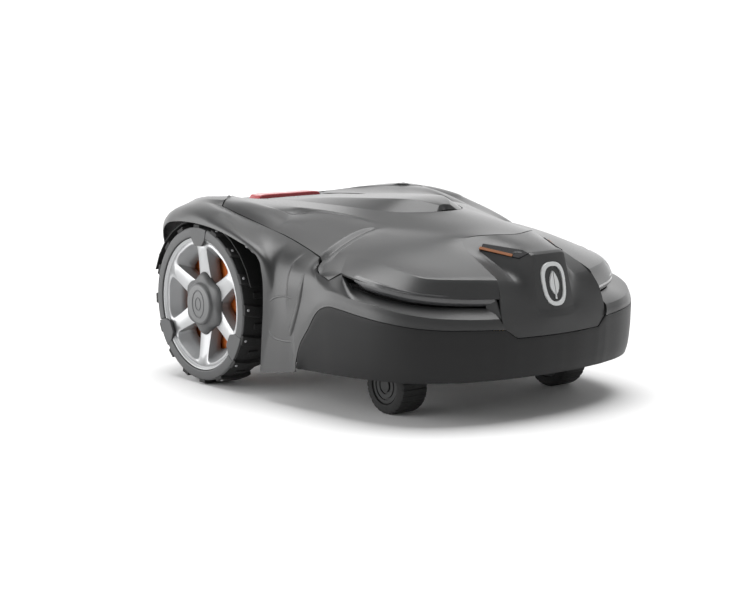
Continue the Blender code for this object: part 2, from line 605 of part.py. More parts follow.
def top_cover():
    gap = 0.0035
    outer = [(0, -0.2330, 0.1985), (0.050, -0.2325, 0.1955), (0.0920, -0.2120, 0.1920),
             (0.0740, -0.2580, 0.1615), (0.105, -0.2535, 0.1635), (0.139, -0.2378, 0.1653),
             (0.1562, -0.2246, 0.1670), (0.1715, -0.2042, 0.1747), (0.1839, -0.1703, 0.1848),
             (0.1905, -0.1303, 0.1887), (0.1932, -0.0925, 0.1840)]
    seam = [(0.1905, -0.050, 0.1905), (0.1885, -0.030, 0.1950), (0.1860, 0.000, 0.2005),
            (0.1820, 0.030, 0.2065), (0.1765, 0.092, 0.2180), (0.1735, 0.120, 0.2225),
            (0.1700, 0.137, 0.2290), (0.1500, 0.165, 0.2300), (0.105, 0.210, 0.2250),
            (0.075, 0.262, 0.2150), (0, 0.2660, 0.2140)]
    outer += [(x - gap if x else 0, y - gap * (y > 0.13), z + 0.0015) for x, y, z in seam]
    lip = [(0.0780, -0.2660, 0.1420), (0.110, -0.2600, 0.1435), (0.1456, -0.2455, 0.1457),
           (0.166, -0.229, 0.1481), (0.1858, -0.1972, 0.1549), (0.1972, -0.1542, 0.1630),
           (0.2010, -0.1250, 0.1690), (0.1985, -0.0955, 0.1745)]
    brow = outer[3:11]
    ridge = [(0, -0.185, 0.2110), (0.045, -0.182, 0.2095), (0.080, -0.165, 0.2040),
             (0.083, -0.168, 0.2000), (0.095, -0.165, 0.1985), (0.108, -0.155, 0.1995),
             (0.116, -0.145, 0.2015), (0.122, -0.128, 0.2040), (0.126, -0.108, 0.2060),
             (0.129, -0.085, 0.2080), (0.131, -0.060, 0.2100), (0.132, -0.030, 0.2125),
             (0.132, -0.010, 0.2145), (0.131, 0.010, 0.2165), (0.130, 0.032, 0.2185),
             (0.128, 0.080, 0.2225), (0.126, 0.105, 0.2245), (0.123, 0.122, 0.2260),
             (0.112, 0.150, 0.2265), (0.086, 0.198, 0.2235), (0.066, 0.2565, 0.2150),
             (0, 0.2600, 0.2145)]
    hatch_edge = opening_row(0.0)
    panel("top_cover", [[lip, brow], [outer, ridge, hatch_edge]], "shell_grey")


def opening_row(inset):
    """Half outline of the deck opening, matched point for point to the ridge row."""
    points = [(0, -0.094, 0.2215), (0.025, -0.0925, 0.2215), (0.045, -0.086, 0.2215),
              (0.048, -0.0845, 0.2215), (0.052, -0.082, 0.2215), (0.058, -0.077, 0.2218),
              (0.064, -0.070, 0.2222), (0.069, -0.062, 0.2226), (0.074, -0.050, 0.2232),
              (0.078, -0.038, 0.2238), (0.081, -0.024, 0.2244), (0.083, -0.008, 0.2250),
              (0.084, 0.006, 0.2254), (0.084, 0.022, 0.2257), (0.083, 0.042, 0.2258),
              (0.080, 0.082, 0.2254), (0.078, 0.104, 0.2250), (0.075, 0.128, 0.2243),
              (0.071, 0.155, 0.2232), (0.066, 0.190, 0.2215), (0.0635, 0.2535, 0.2155),
              (0, 0.2555, 0.2150)]
    return [(max(0.0, x - inset), y + inset * (y < -0.06) - inset * (y > 0.25), z) for x, y, z in points]


def hatch():
    """The deck hatch: two long raised lobes with a valley between them; hinged at its front."""
    rear_y = 0.221
    rim_row = [point for point in opening_row(0.0007) if point[1] < 0.16]
    rim_row += [(0.0690, 0.165, 0.2228), (0.0650, 0.190, 0.2213), (0.0620, rear_y, 0.2188), (0, rear_y, 0.2192)]
    lobe = []
    for x, y, z in rim_row:
        rise = max(0.0, 1 - ((y - 0.01) / 0.13) ** 2) if y < 0.14 else 0.0
        lobe.append((x * 0.72, y * 0.92 + 0.002, z + 0.004 + 0.0140 * rise))
    valley = [(0, y, z - 0.004) for x, y, z in lobe]
    panel("hatch", [[rim_row, lobe, valley]], "shell_grey", 0.0022)


def stop_button():
    half = [(0, 0.2225), (0.058, 0.2225), (0.0605, 0.2265), (0.0585, 0.2505), (0, 0.2535)]
    bm = prism(mirrored_outline(half), 0.2105, 0.2215)
    for v in bm.verts:
        if v.co.z > 0.2150:
            v.co.z += (0.238 - v.co.y) * 0.09
            v.co.x *= 0.96
    place("stop_button", bm, "stop_red")


def trims():
    """Headlight strips, nose lamps and the badge."""
    for side, sign in SIDES:
        strip = []
        for x, y, z in [(0.095, -0.2535, 0.1385), (0.135, -0.2360, 0.1400), (0.160, -0.2165, 0.1425),
                        (0.176, -0.1890, 0.1480), (0.186, -0.1560, 0.1555)]:
            strip.append((x, y, z))
        place("headlight_" + side, ribbon(strip, sign, 0.006, 0.0022), "lamp")
        lamp = block((0.036, 0.005, 0.0035), (sign * 0.044, -0.2440, 0.1975), 0.001)
        place("nose_lamp_" + side, lamp, "lamp")
    outline = [(0.0, -0.020), (0.010, -0.017), (0.014, -0.006), (0.0145, 0.010), (0.011, 0.019), (0, 0.021)]
    badge = prism(mirrored_outline(outline), 0.0, 0.0022)
    place("nose_badge", badge, "rim_silver", location=(0, -0.2795, 0.156), rotation=(radians(77.5), 0, 0))


def ribbon(points, sign, height, depth):
    """A bar of rectangular section along a path; depth runs towards the body's middle."""
    bm = bmesh.new()
    rings = []
    for x, y, z in points:
        size = hypot(x, y)
        back = (x - depth * x / size, y - depth * y / size)
        ring = [(x, y, z), (x, y, z + height), (*back, z + height), (*back, z)]
        rings.append([bm.verts.new((sign * a, b, c)) for a, b, c in ring])
    for first, second in zip(rings, rings[1:]):
        for k in range(4):
            j = (k + 1) % 4
            bm.faces.new((first[k], first[j], second[j], second[k]))
    bm.faces.new(rings[0])
    bm.faces.new(list(reversed(rings[-1])))
    return bm


def wheel_arches():
    """Dark liners over the rear wheels, inside the wings."""
    wall = 0.0015
    for side, sign in SIDES:
        bm = bmesh.new()
        rings = []
        for i in range(13):
            angle = radians(18 + 144 * i / 12)
            inner = (AXLE_Y + ARCH_LENGTH * cos(angle), AXLE_Z + ARCH_HEIGHT * sin(angle))
            outer = (AXLE_Y + (ARCH_LENGTH + wall) * cos(angle), AXLE_Z + (ARCH_HEIGHT + wall) * sin(angle))
            ring = [(0.160, *inner), (0.2085, *inner), (0.2085, *outer), (0.160, *outer)]
            rings.append([bm.verts.new((sign * a, b, c)) for a, b, c in ring])
        for first, second in zip(rings, rings[1:]):
            for k in range(4):
                j = (k + 1) % 4
                bm.faces.new((first[k], first[j], second[j], second[k]))
        bm.faces.new(rings[0])
        bm.faces.new(list(reversed(rings[-1])))
        place("wheel_arch_" + side, bm, "black_plastic")


def posts():
    """Sprung posts between the chassis lid and the floating body."""
    for end, y, x, top in (("front", -0.170, 0.085, 0.185), ("rear", 0.195, 0.100, 0.214)):
        for side, sign in SIDES:
            low = LID_TOP_Z + GAP
            post = turned([(0, low), (0.011, low), (0.0095, low + 0.006), (0.0075, low + 0.012),
                           (0.0075, top - 0.006), (0.0095, top), (0, top)], 16)
            place("cover_post_%s_%s" % (end, side), post, "black_plastic", location=(sign * x, y, 0))


def main():
    clear_scene()
    rear_wheels()
    for side, sign in SIDES:
        caster(side, sign)
    chassis()
    cutting_gear()
    bumper()
    body_shell()
    top_cover()
    hatch()
    stop_button()
    trims()
    wheel_arches()
    posts()


main()
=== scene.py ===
"""Looks of a robotic lawn mower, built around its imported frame. Metres, +Z up, front towards -Y."""

import fnmatch
from functools import partial
from math import atan2, cos, hypot, pi, radians, sin

import bmesh
import bpy
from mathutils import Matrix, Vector
from mathutils.bvhtree import BVHTree


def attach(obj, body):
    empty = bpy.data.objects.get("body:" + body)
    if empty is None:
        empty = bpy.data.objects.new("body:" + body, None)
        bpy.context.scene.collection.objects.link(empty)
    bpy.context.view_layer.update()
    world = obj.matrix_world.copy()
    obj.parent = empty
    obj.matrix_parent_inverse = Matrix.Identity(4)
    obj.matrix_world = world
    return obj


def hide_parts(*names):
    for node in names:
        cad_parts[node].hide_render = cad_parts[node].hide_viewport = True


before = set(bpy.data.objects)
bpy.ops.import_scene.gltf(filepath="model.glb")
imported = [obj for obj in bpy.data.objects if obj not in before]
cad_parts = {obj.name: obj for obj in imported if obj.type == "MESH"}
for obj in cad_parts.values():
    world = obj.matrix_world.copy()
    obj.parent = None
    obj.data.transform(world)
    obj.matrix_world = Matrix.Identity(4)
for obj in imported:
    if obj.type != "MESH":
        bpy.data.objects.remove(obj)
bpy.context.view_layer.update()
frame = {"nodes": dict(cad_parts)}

WALL = 0.0026                # wall of the moulded panels
ALONG = 7                    # surface steps between neighbouring points of a row
ACROSS = 6                   # surface steps between neighbouring rows
PANEL_EDGE = 0.0006          # rounding of the moulded panels' edges
SMOOTH = 32                  # degrees above which an edge is shown sharp
CREASE = 0.96                # how firmly a subdivision surface keeps to its sharp edges
CAGE_LEVELS = 3              # rounds of subdivision
MACHINE_MIDDLE = Vector((0, 0, 0.08))
SIDES = (("left", 1.0), ("right", -1.0))


# ---- materials

NOISE_SPAN = (0.3, 0.7)      # where nearly all of a noise field's values lie


def new_material(name):
    made = bpy.data.materials.new(name)
    made.use_nodes = True
    tree = made.node_tree
    return made, tree, tree.nodes["Principled BSDF"]


def add_node(tree, kind, **values):
    node = tree.nodes.new(kind)
    for key, value in values.items():
        if key in node.inputs:
            node.inputs[key].default_value = value
        else:
            setattr(node, key, value)
    return node


def noise(tree, scale, detail=4.0, rough=0.55):
    place = add_node(tree, "ShaderNodeTexCoord")
    field = add_node(tree, "ShaderNodeTexNoise", Scale=scale, Detail=detail, Roughness=rough)
    tree.links.new(place.outputs["Object"], field.inputs["Vector"])
    return field


def ramp(tree, source, start, end, low, high):
    """Map a field's values from start..end to low..high."""
    node = add_node(tree, "ShaderNodeMapRange",
                    **{"From Min": start, "From Max": end, "To Min": low, "To Max": high})
    tree.links.new(source, node.inputs["Value"])
    return node.outputs["Result"]


def texture(tree, shader, field, low, high, bump, distance):
    """Uneven gloss and a fine relief, both from one noise field."""
    gloss = ramp(tree, field.outputs[0], *NOISE_SPAN, low, high)
    tree.links.new(gloss, shader.inputs["Roughness"])
    relief = add_node(tree, "ShaderNodeBump", Strength=bump, Distance=distance)
    tree.links.new(field.outputs[0], relief.inputs["Height"])
    tree.links.new(relief.outputs["Normal"], shader.inputs["Normal"])


def plastic(name, colour, rough, grain=900.0, bump=0.04, vary=0.08, metal=0.0, coat=0.0, shine=0.5):
    """Moulded or painted surface: fine grain, slight mottling and uneven gloss."""
    made, tree, shader = new_material(name)
    mottle = noise(tree, 18.0)
    mix = add_node(tree, "ShaderNodeMix", data_type="RGBA")
    tree.links.new(mottle.outputs[0], mix.inputs["Factor"])
    mix.inputs["A"].default_value = (*[c * (1 - vary) for c in colour], 1)
    mix.inputs["B"].default_value = (*[min(1.0, c * (1 + vary)) for c in colour], 1)
    tree.links.new(mix.outputs["Result"], shader.inputs["Base Color"])
    texture(tree, shader, noise(tree, grain, 2.0), rough - 0.05, rough + 0.05, bump, 0.0004)
    shader.inputs["Metallic"].default_value = metal
    shader.inputs["Specular IOR Level"].default_value = shine
    shader.inputs["Coat Weight"].default_value = coat
    shader.inputs["Coat Roughness"].default_value = 0.25
    return made


def brushed(name, colour, rough=0.3, stretch=(4, 4, 300)):
    """Bare metal with fine directional lines."""
    made, tree, shader = new_material(name)
    place = add_node(tree, "ShaderNodeTexCoord")
    mapping = add_node(tree, "ShaderNodeMapping")
    mapping.inputs["Scale"].default_value = stretch
    field = add_node(tree, "ShaderNodeTexNoise", Scale=6.0, Detail=3.0)
    tree.links.new(place.outputs["Object"], mapping.inputs["Vector"])
    tree.links.new(mapping.outputs["Vector"], field.inputs["Vector"])
    texture(tree, shader, field, rough - 0.08, rough + 0.1, 0.06, 0.0003)
    shader.inputs["Base Color"].default_value = (*colour, 1)
    shader.inputs["Metallic"].default_value = 1.0
    return made


# plastic: name, colour, roughness, grain, bump, colour variation, metallic, coat, shine
MATS = {
    "body": plastic("body_paint", (0.0245, 0.0248, 0.0251), 0.37, 1400, 0.03, 0.05, 0.0, 0.18, 0.42),
    "bumper": plastic("bumper_plastic", (0.0075, 0.0075, 0.0078), 0.42, 1600, 0.1, 0.08, 0.0, 0.0, 0.25),
    "black": plastic("black_plastic", (0.0065, 0.0065, 0.007), 0.55, 1200, 0.1),
    "arch": plastic("arch_plastic", (0.0025, 0.0025, 0.0025), 0.85, 900, 0.1),
    "tyre": plastic("tyre_rubber", (0.009, 0.009, 0.009), 0.78, 500, 0.25, 0.15),
    "ring": plastic("tyre_side_ring", (0.05, 0.051, 0.052), 0.5, 1500, 0.08, 0.06),
    "rim": plastic("rim_silver", (0.38, 0.385, 0.39), 0.33, 1500, 0.03, 0.03, 0.55, 0.2),
    "window": plastic("rim_window_wall", (0.24, 0.245, 0.25), 0.45, 1500, 0.03, 0.05, 0.3),
    "orange": plastic("orange_disc", (0.55, 0.13, 0.022), 0.5, 900, 0.08, 0.1),
    # The first grey below is darker than the cap face's grey. On the hub cap's sides it is painted shade, and
    # the oval rings on the face use it too.
    "cap": plastic("cap_grey", (0.06, 0.061, 0.062), 0.45, 1500, 0.08),
    "cap_face": plastic("cap_face_grey", (0.11, 0.112, 0.113), 0.42, 1500, 0.06),
    "red": plastic("stop_red", (0.33, 0.01, 0.016), 0.28, 900, 0.02, 0.06, 0.0, 0.5),
    "badge": plastic("badge_silver", (0.62, 0.63, 0.63), 0.35, 1500, 0.03, 0.03, 0.4),
    "lamp": plastic("lamp_lens", (0.04, 0.04, 0.042), 0.14, 300, 0.01, 0.05, 0.0, 0.6),
    "lens_dark": plastic("lens_dark", (0.01, 0.01, 0.011), 0.3, 300, 0.01, 0.05, 0.0, 0.0, 0.1),
    "amber": plastic("amber_strip", (0.2, 0.075, 0.028), 0.35, 300, 0.02, 0.08, 0.0, 0.0, 0.15),
    "seal": plastic("seal_rubber", (0.02, 0.02, 0.02), 0.8, 400, 0.2),
    "pack": plastic("battery_wrap", (0.03, 0.11, 0.05), 0.5, 300, 0.05),
    "board": plastic("board_green", (0.012, 0.1, 0.035), 0.4, 700, 0.2, 0.3),
    "display": plastic("display_glass", (0.012, 0.014, 0.018), 0.08, 200, 0.0, 0.05, 0.0, 1.0),
    "button": plastic("button_grey", (0.16, 0.16, 0.165), 0.5, 900, 0.08),
    "stud": plastic("tread_stud", (0.3, 0.3, 0.31), 0.5, 900, 0.05),
    "steel": brushed("turned_steel", (0.55, 0.55, 0.56)),
    "blade": brushed("blade_steel", (0.66, 0.66, 0.67), 0.22, (300, 4, 4)),
    "motor": brushed("motor_casting", (0.35, 0.35, 0.36), 0.45, (40, 40, 40)),
    "copper": brushed("contact_plate", (0.72, 0.47, 0.22), 0.28, (4, 200, 4)),
}


# ---- meshes

def new_object(name, data):
    obj = bpy.data.objects.new(name, data)
    bpy.context.scene.collection.objects.link(obj)
    return obj


def mesh_from(name, bm):
    mesh = bpy.data.meshes.new(name)
    bm.to_mesh(mesh)
    bm.free()
    return mesh


def finish_piece(name, bm, body, finish, replaces=(), smooth=SMOOTH):
    """Make a named piece from a bmesh, give it its finish and let it ride on a body."""
    bmesh.ops.recalc_face_normals(bm, faces=bm.faces)
    return adopt(mesh_from(name, bm), body, finish, replaces, smooth)


def adopt(mesh, body, finish, replaces=(), smooth=SMOOTH):
    """Make a piece from a mesh; it takes the mesh's name."""
    mesh.shade_smooth()
    mesh.set_sharp_from_angle(angle=radians(smooth))
    mesh.materials.append(MATS[finish])
    obj = new_object(mesh.name, mesh)
    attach(obj, body)
    if replaces:
        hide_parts(*replaces)
    return obj


def blend(a, lean_a, b, lean_b, t):
    """The point at share t of a curve that leaves a and reaches b with the given tangents."""
    return (a * (2 * t**3 - 3 * t**2 + 1) + lean_a * (t**3 - 2 * t**2 + t)
            + b * (-2 * t**3 + 3 * t**2) + lean_b * (t**3 - t**2))


def curve_points(points, steps, corners=()):
    """A smooth curve through the points, with the given steps in each span; corners stay sharp."""
    points = [Vector(p) for p in points]
    last = len(points) - 1
    gaps = [max(1e-6, (b - a).length) for a, b in zip(points, points[1:])]
    slopes = [(b - a) / gap for a, b, gap in zip(points, points[1:], gaps)]

    def tangent(index, span):
        if index in (0, last) or index in corners:
            return slopes[span]
        before, after = gaps[index - 1], gaps[index]
        return (slopes[index - 1] * after + slopes[index] * before) / (before + after)

    result = []
    for span in range(last):
        leave, reach = tangent(span, span) * gaps[span], tangent(span + 1, span) * gaps[span]
        result += [blend(points[span], leave, points[span + 1], reach, k / steps) for k in range(steps)]
    return result + [points[-1]]


class Surface:
    """Quads gathered from several patches; points that coincide are shared."""

    def __init__(self):
        self.bm = bmesh.new()
        self.found = {}

    def vert(self, point):
        key = tuple(round(c, 5) for c in point)
        if key not in self.found:
            self.found[key] = self.bm.verts.new(key)
        return self.found[key]

    def quad(self, loop, material=0):
        """A face through the corners; a corner that coincides with its neighbour is left out."""
        clean = [v for k, v in enumerate(loop) if v is not loop[k - 1]]
        if len(set(clean)) > 2 and not self.bm.faces.get(clean):
            self.bm.faces.new(clean).material_index = material

    def loft(self, lines, creases=()):
        """A smooth patch across lines that are fine along their length; creases are line numbers."""
        columns = [curve_points(column, ACROSS, creases) for column in zip(*lines)]
        for first, second in zip(columns, columns[1:]):
            for i in range(len(first) - 1):
                self.quad([self.vert(p) for p in (first[i], second[i], second[i + 1], first[i + 1])])

    def relax(self, box, rounds):
        """Even out ripples inside a box of the surface; its open edges stay where they are."""
        low, high = box
        inside = [v for v in self.bm.verts
                  if not v.is_boundary and all(a < c < b for a, c, b in zip(low, v.co, high))]
        for _ in range(rounds):
            bmesh.ops.smooth_vert(self.bm, verts=inside, factor=0.5,
                                  use_axis_x=True, use_axis_y=True, use_axis_z=True)


def turn_faces(bm, outwards):
    """Make the faces agree; outwards tells how far a face looks the right way."""
    bmesh.ops.recalc_face_normals(bm, faces=bm.faces)
    if sum(outwards(face) * face.calc_area() for face in bm.faces) < 0:
        bmesh.ops.reverse_faces(bm, faces=bm.faces)


def face_out(mesh):
    """Turn the faces of an open panel away from the middle of the machine."""
    bm = bmesh.new()
    bm.from_mesh(mesh)
    turn_faces(bm, lambda face: face.normal.dot(face.calc_center_median() - MACHINE_MIDDLE))
    bm.to_mesh(mesh)
    bm.free()


def mirror_halves(obj):
    halves = obj.modifiers.new("halves", "MIRROR")
    halves.merge_threshold = 0.00005
    halves.use_clip = True


def thicken(obj, wall):
    """Give a surface its wall, inwards."""
    skin = obj.modifiers.new("wall", "SOLIDIFY")
    skin.thickness = wall
    skin.offset = -1.0
    return skin


def round_edges(obj, width, segments=2, angle=30):
    soften = obj.modifiers.new("edges", "BEVEL")
    soften.width = width
    soften.segments = segments
    soften.limit_method = "ANGLE"
    soften.angle_limit = radians(angle)
    soften.harden_normals = True


def panel(name, surface, finish, replaces):
    """Mirror a surface of the cover, give it its wall and round its edges."""
    bm = surface.bm
    bmesh.ops.dissolve_degenerate(bm, dist=1e-6, edges=bm.edges)
    mesh = mesh_from(name, bm)
    face_out(mesh)
    obj = adopt(mesh, "cover", finish, replaces)
    mirror_halves(obj)
    skin = thicken(obj, WALL)
    skin.use_even_offset = True
    skin.thickness_clamp = 1.5
    round_edges(obj, PANEL_EDGE, 2, 35)


# ---- body panels
# Rows run from the front middle round the +X side, and the other half is mirrored.

def metres(points):
    """Points from millimetres to metres."""
    return [tuple(round(value / 1000, 6) for value in point) for point in points]


def named_points(rows):
    """Points in metres, named by their row's letter and their number in it."""
    return {letter + str(k): point for letter, row in rows.items() for k, point in enumerate(metres(row))}


# The seam between the bumper and the panels above it, and the bumper's lower edge
SEAM = metres([
    (0, -290, 96.5), (30, -289.2, 96.7), (65, -285, 97.2), (80.5, -282, 107.8), (122, -268.8, 109.8),
    (150.5, -254.2, 111), (178, -230.3, 114.2), (194.2, -202.5, 118.5), (204, -169, 123.5),
    (208.5, -144, 127.2), (210.8, -127, 128.4), (211.8, -114, 123.5), (212.8, -91.7, 97), (213.2, -77, 77),
    (213.4, -69.5, 50)])
SEAM_CORNERS = (2, 3)
SKIRT = metres([
    (0, -284, 51), (30, -283, 51), (64, -279, 51), (80, -276.2, 51), (120, -264, 51), (148, -249, 51),
    (173.5, -226.2, 51), (188.5, -199, 51), (198, -167, 50.6), (202.5, -143, 50.2), (204.5, -127, 49.7),
    (205.3, -114, 49.3), (206, -95, 48.7), (206.3, -82, 48.3), (206.8, -72.5, 48)])


def mixed(row_a, row_b, share, bulge=0.0):
    """A row between two rows; bulge pushes it outwards."""
    made = []
    for a, b in zip(row_a, row_b):
        point = Vector(a) * (1 - share) + Vector(b) * share
        point += Vector((point.x, point.y, 0)).normalized() * bulge
        made.append(tuple(point))
    return made


def inset(row, inward, up):
    """A row moved towards the body's middle, and up."""
    made = []
    for x, y, z in row:
        flat = Vector((x, y, 0))
        shift = flat.normalized() * min(inward, flat.length)
        made.append((max(0.0, x - shift.x), y - shift.y, z + up))
    return made


def make_bumper():
    """The skirt, from a lip inside its lower edge up to a lip behind the seam."""
    surface = Surface()
    rows = [inset(SKIRT, 0.006, 0.0004), SKIRT, mixed(SKIRT, SEAM, 0.12, 0.0015),
            mixed(SKIRT, SEAM, 0.45, 0.0022), mixed(SKIRT, SEAM, 0.93, 0.0006), SEAM,
            inset(SEAM, 0.004, -0.0006)]
    surface.loft([curve_points(row, ALONG, SEAM_CORNERS) for row in rows], creases=(1, 4, 5))
    panel("bumper_skirt", surface, "bumper", ["bumper"])


# Outer edge of the ledge, the foot of the slot, and the wing seam further back
LEDGE = metres([
    (0, -286.8, 118), (30, -285.8, 118.2), (70, -280, 119), (85.2, -277.4, 120.1), (130.1, -261.2, 122.6),
    (156, -245.5, 124.8), (182.4, -217.3, 130.3), (193.5, -193, 135.5), (201, -165, 140),
    (204.5, -146, 143.2), (206.6, -127, 146.2), (208, -110, 144), (209.6, -88, 123), (210.6, -70, 93),
    (211.2, -62, 60)])


# The body shell's rows, from its lower edge up to the cover's seam
BODY_LOW = [(x, y, z + 0.0008) for x, y, z in SEAM[3:11]] + metres([
    (211.8, -113.2, 124.3), (212.8, -90.9, 97.8), (213.2, -76.2, 77.8), (213.4, -68.7, 56),
    (211.5, -66, 48), (211.2, -33, 39.5), (211.8, 4, 33), (212.5, -1, 78), (213, -5, 120),
    (213.5, -4, 152), (214, 1.5, 169.2), (214.5, 13, 178.6), (214.8, 43, 188), (214.8, 91, 198),
    (214.8, 140, 202), (214.5, 178, 200.6), (213, 201, 196.5), (209, 216, 188), (195, 236, 165),
    (168, 262, 135), (156, 269, 100), (151, 269, 68), (100, 278, 67), (0, 281, 67)])
BODY_MID = LEDGE[3:11] + metres([
    (208.5, -108, 142), (209.2, -88, 132), (209.2, -72, 122), (208.8, -60, 114), (208.2, -50, 112),
    (207.4, -36, 116), (207.3, -26, 126), (207.8, -21, 138), (208.6, -17, 150), (209.5, -11, 164),
    (210.5, -1, 177), (211.5, 22, 187), (212, 60, 198.5), (212, 105, 207.5), (211.5, 145, 211.5),
    (210, 182, 209.5), (206, 212, 203.5), (199, 230, 194), (184, 248, 180), (164, 268, 165),
    (156, 275, 140), (150, 275, 110), (100, 283, 105), (0, 285.8, 105)])
BODY_TOP = metres([
    (85.8, -262.4, 131.1), (124, -240, 132.6), (148, -219, 134.5), (170, -189, 140), (181, -164, 145.8),
    (188, -142.8, 151.1), (194, -132, 165), (200.3, -115.2, 155.8), (199.7, -87.6, 166),
    (182.2, -74.5, 177.5), (179.7, -65, 178.8), (177.7, -57, 180.6), (175.7, -47, 182.8),
    (174, -34, 185.6), (172.7, -20, 188.6), (171.8, -8, 191.3), (171.4, 2, 193.4), (171, 12, 195.4),
    (170.8, 23, 197.6), (171, 40, 200.8), (171.4, 70, 206.4), (172, 100, 212.3), (172.2, 125, 217.6),
    (172.2, 138, 220.3), (163, 146, 226.6), (144, 161.2, 228.6), (125, 183.6, 226.6),
    (106.5, 207.6, 224.4), (96, 224.6, 221.3), (85, 243.6, 218), (50, 266.6, 214), (0, 267.2, 213.5)])
SHOULDER = metres([
    (205.5, -101, 154), (201, -81, 164), (200.5, -69, 164), (199.8, -57, 165), (198.5, -45, 168),
    (197.5, -32, 172), (197, -19, 176.5), (197.2, -10.8, 176.8), (197.6, -3.6, 179.2), (198, 5, 181.8),
    (198.4, 16.6, 186), (198.6, 37, 194.5), (198, 71, 205.2), (195.5, 106, 216), (191, 138, 221.5),
    (186, 160, 224), (178, 178, 225.5), (169, 195, 225.5), (161, 213, 223.2), (154, 233, 218.5),
    (144, 250, 214), (125, 264, 208), (80, 276, 204), (0, 280, 203)])
LOW_CORNERS = (11, 14, 27)   # points where the lowest and the highest row turn sharply
TOP_CORNERS = (5, 6, 7, 8, 9, 23, 24, 29)
EVEN_OUT = ((0.17, -0.045, 0.12), (0.22, 0.11, 0.215))   # box where the wing meets the pillar
EVEN_ROUNDS = 30
LEDGE_END = 8                # the ledge and its slot end at this point of the rows


def make_body_shell():
    """Ledge, side pillars, wings and tail in one skin; the ledge's outer edge is sharp."""
    surface = Surface()
    shoulder = mixed(BODY_MID[:LEDGE_END], BODY_TOP[:LEDGE_END], 0.55) + SHOULDER
    low = curve_points(BODY_LOW, ALONG, LOW_CORNERS)
    near_low = curve_points(mixed(BODY_LOW, BODY_MID, 0.45, 0.0008), ALONG, LOW_CORNERS)
    middle, high = curve_points(BODY_MID, ALONG), curve_points(shoulder, ALONG)
    lines = (low, near_low, middle, high, curve_points(BODY_TOP, ALONG, TOP_CORNERS))
    split = LEDGE_END * ALONG
    surface.loft([line[:split + 1] for line in lines], creases=(2,))
    surface.loft([line[split:] for line in lines])
    surface.relax(EVEN_OUT, EVEN_ROUNDS)
    panel("body_shell_skin", surface, "body", ["body_shell"])


def cage_piece(name, points, faces, sharp, body, replaces, corners=()):
    """A mirrored subdivision surface from named points; sharp edges are pairs of names."""
    index = {key: i for i, key in enumerate(points)}
    mesh = bpy.data.meshes.new(name)
    mesh.from_pydata(list(points.values()), [], [[index[key] for key in face] for face in faces])
    face_out(mesh)
    wanted = {frozenset((index[a], index[b])) for a, b in sharp}
    hard = [edge for edge in mesh.edges if frozenset(edge.vertices) in wanted]
    crease = mesh.attributes.new("crease_edge", "FLOAT", "EDGE")
    for edge in hard:
        crease.data[edge.index].value = CREASE
    pointed = mesh.attributes.new("crease_vert", "FLOAT", "POINT")
    for key in corners:
        pointed.data[index[key]].value = 1.0
    obj = adopt(mesh, body, "body", replaces)
    for edge in hard:
        edge.use_edge_sharp = True
    mirror_halves(obj)
    rounding = obj.modifiers.new("rounding", "SUBSURF")
    rounding.levels = CAGE_LEVELS
    rounding.render_levels = CAGE_LEVELS
    thicken(obj, WALL)


def pairs(chains):
    """Neighbouring names along each chain."""
    return [pair for chain in chains.split(",") for pair in zip(chain.split(), chain.split()[1:])]


def grid_faces(letters, columns):
    """Faces between rows of named points, such as a0 to a3 and b0 to b3."""
    return [(low + str(k), low + str(k + 1), high + str(k + 1), high + str(k))
            for low, high in zip(letters, letters[1:]) for k in range(columns)]


NOSE = named_points({        # from the bumper's seam up to the top cover
    "a": [(0, -289.5, 97.3), (29.5, -288.8, 97.6), (64, -284.5, 98), (80.3, -279.5, 109.2)],
    "b": [(0, -287.2, 116.5), (27, -286.4, 116.5), (60, -282, 120), (82.6, -276.5, 122)],
    "c": [(0, -284.2, 122.5), (29, -279.2, 126.2), (52, -274, 138), (78.6, -271.6, 142)],
    "d": [(0, -275.5, 155), (27.5, -273.5, 155), (45, -261, 159), (73.8, -262.5, 160.8)],
    "e": [(0, -267.2, 186.2), (26, -265.2, 186.2), (50, -235, 173), (70, -230, 175.5)],
    "f": [(0, -263, 189), (26, -260, 189), (57, -212, 188), (66.8, -206, 186.5)],
    "g": [(0, -240, 196.5), (27, -231, 198.5), (57, -195, 196.5), (64, -188, 194.5)],
    "h": [(0, -214, 202.8), (24, -207.4, 204.4), (45, -193, 203), (62.2, -179, 199)],
})


def make_nose():
    sharp = pairs("a0 a1 a2 a3 b3 c3 d3 e3 f3 g3 h3 h2 h1 h0,c1 d1 e1 f1,e0 e1,f0 f1 f2 f3,d2 e2 f2,c0 c1,"
                  "b0 b1 c1")
    cage_piece("nose_panel", NOSE, grid_faces("abcdefgh", 3), sharp, "cover", (), ("a2", "a3", "c3"))


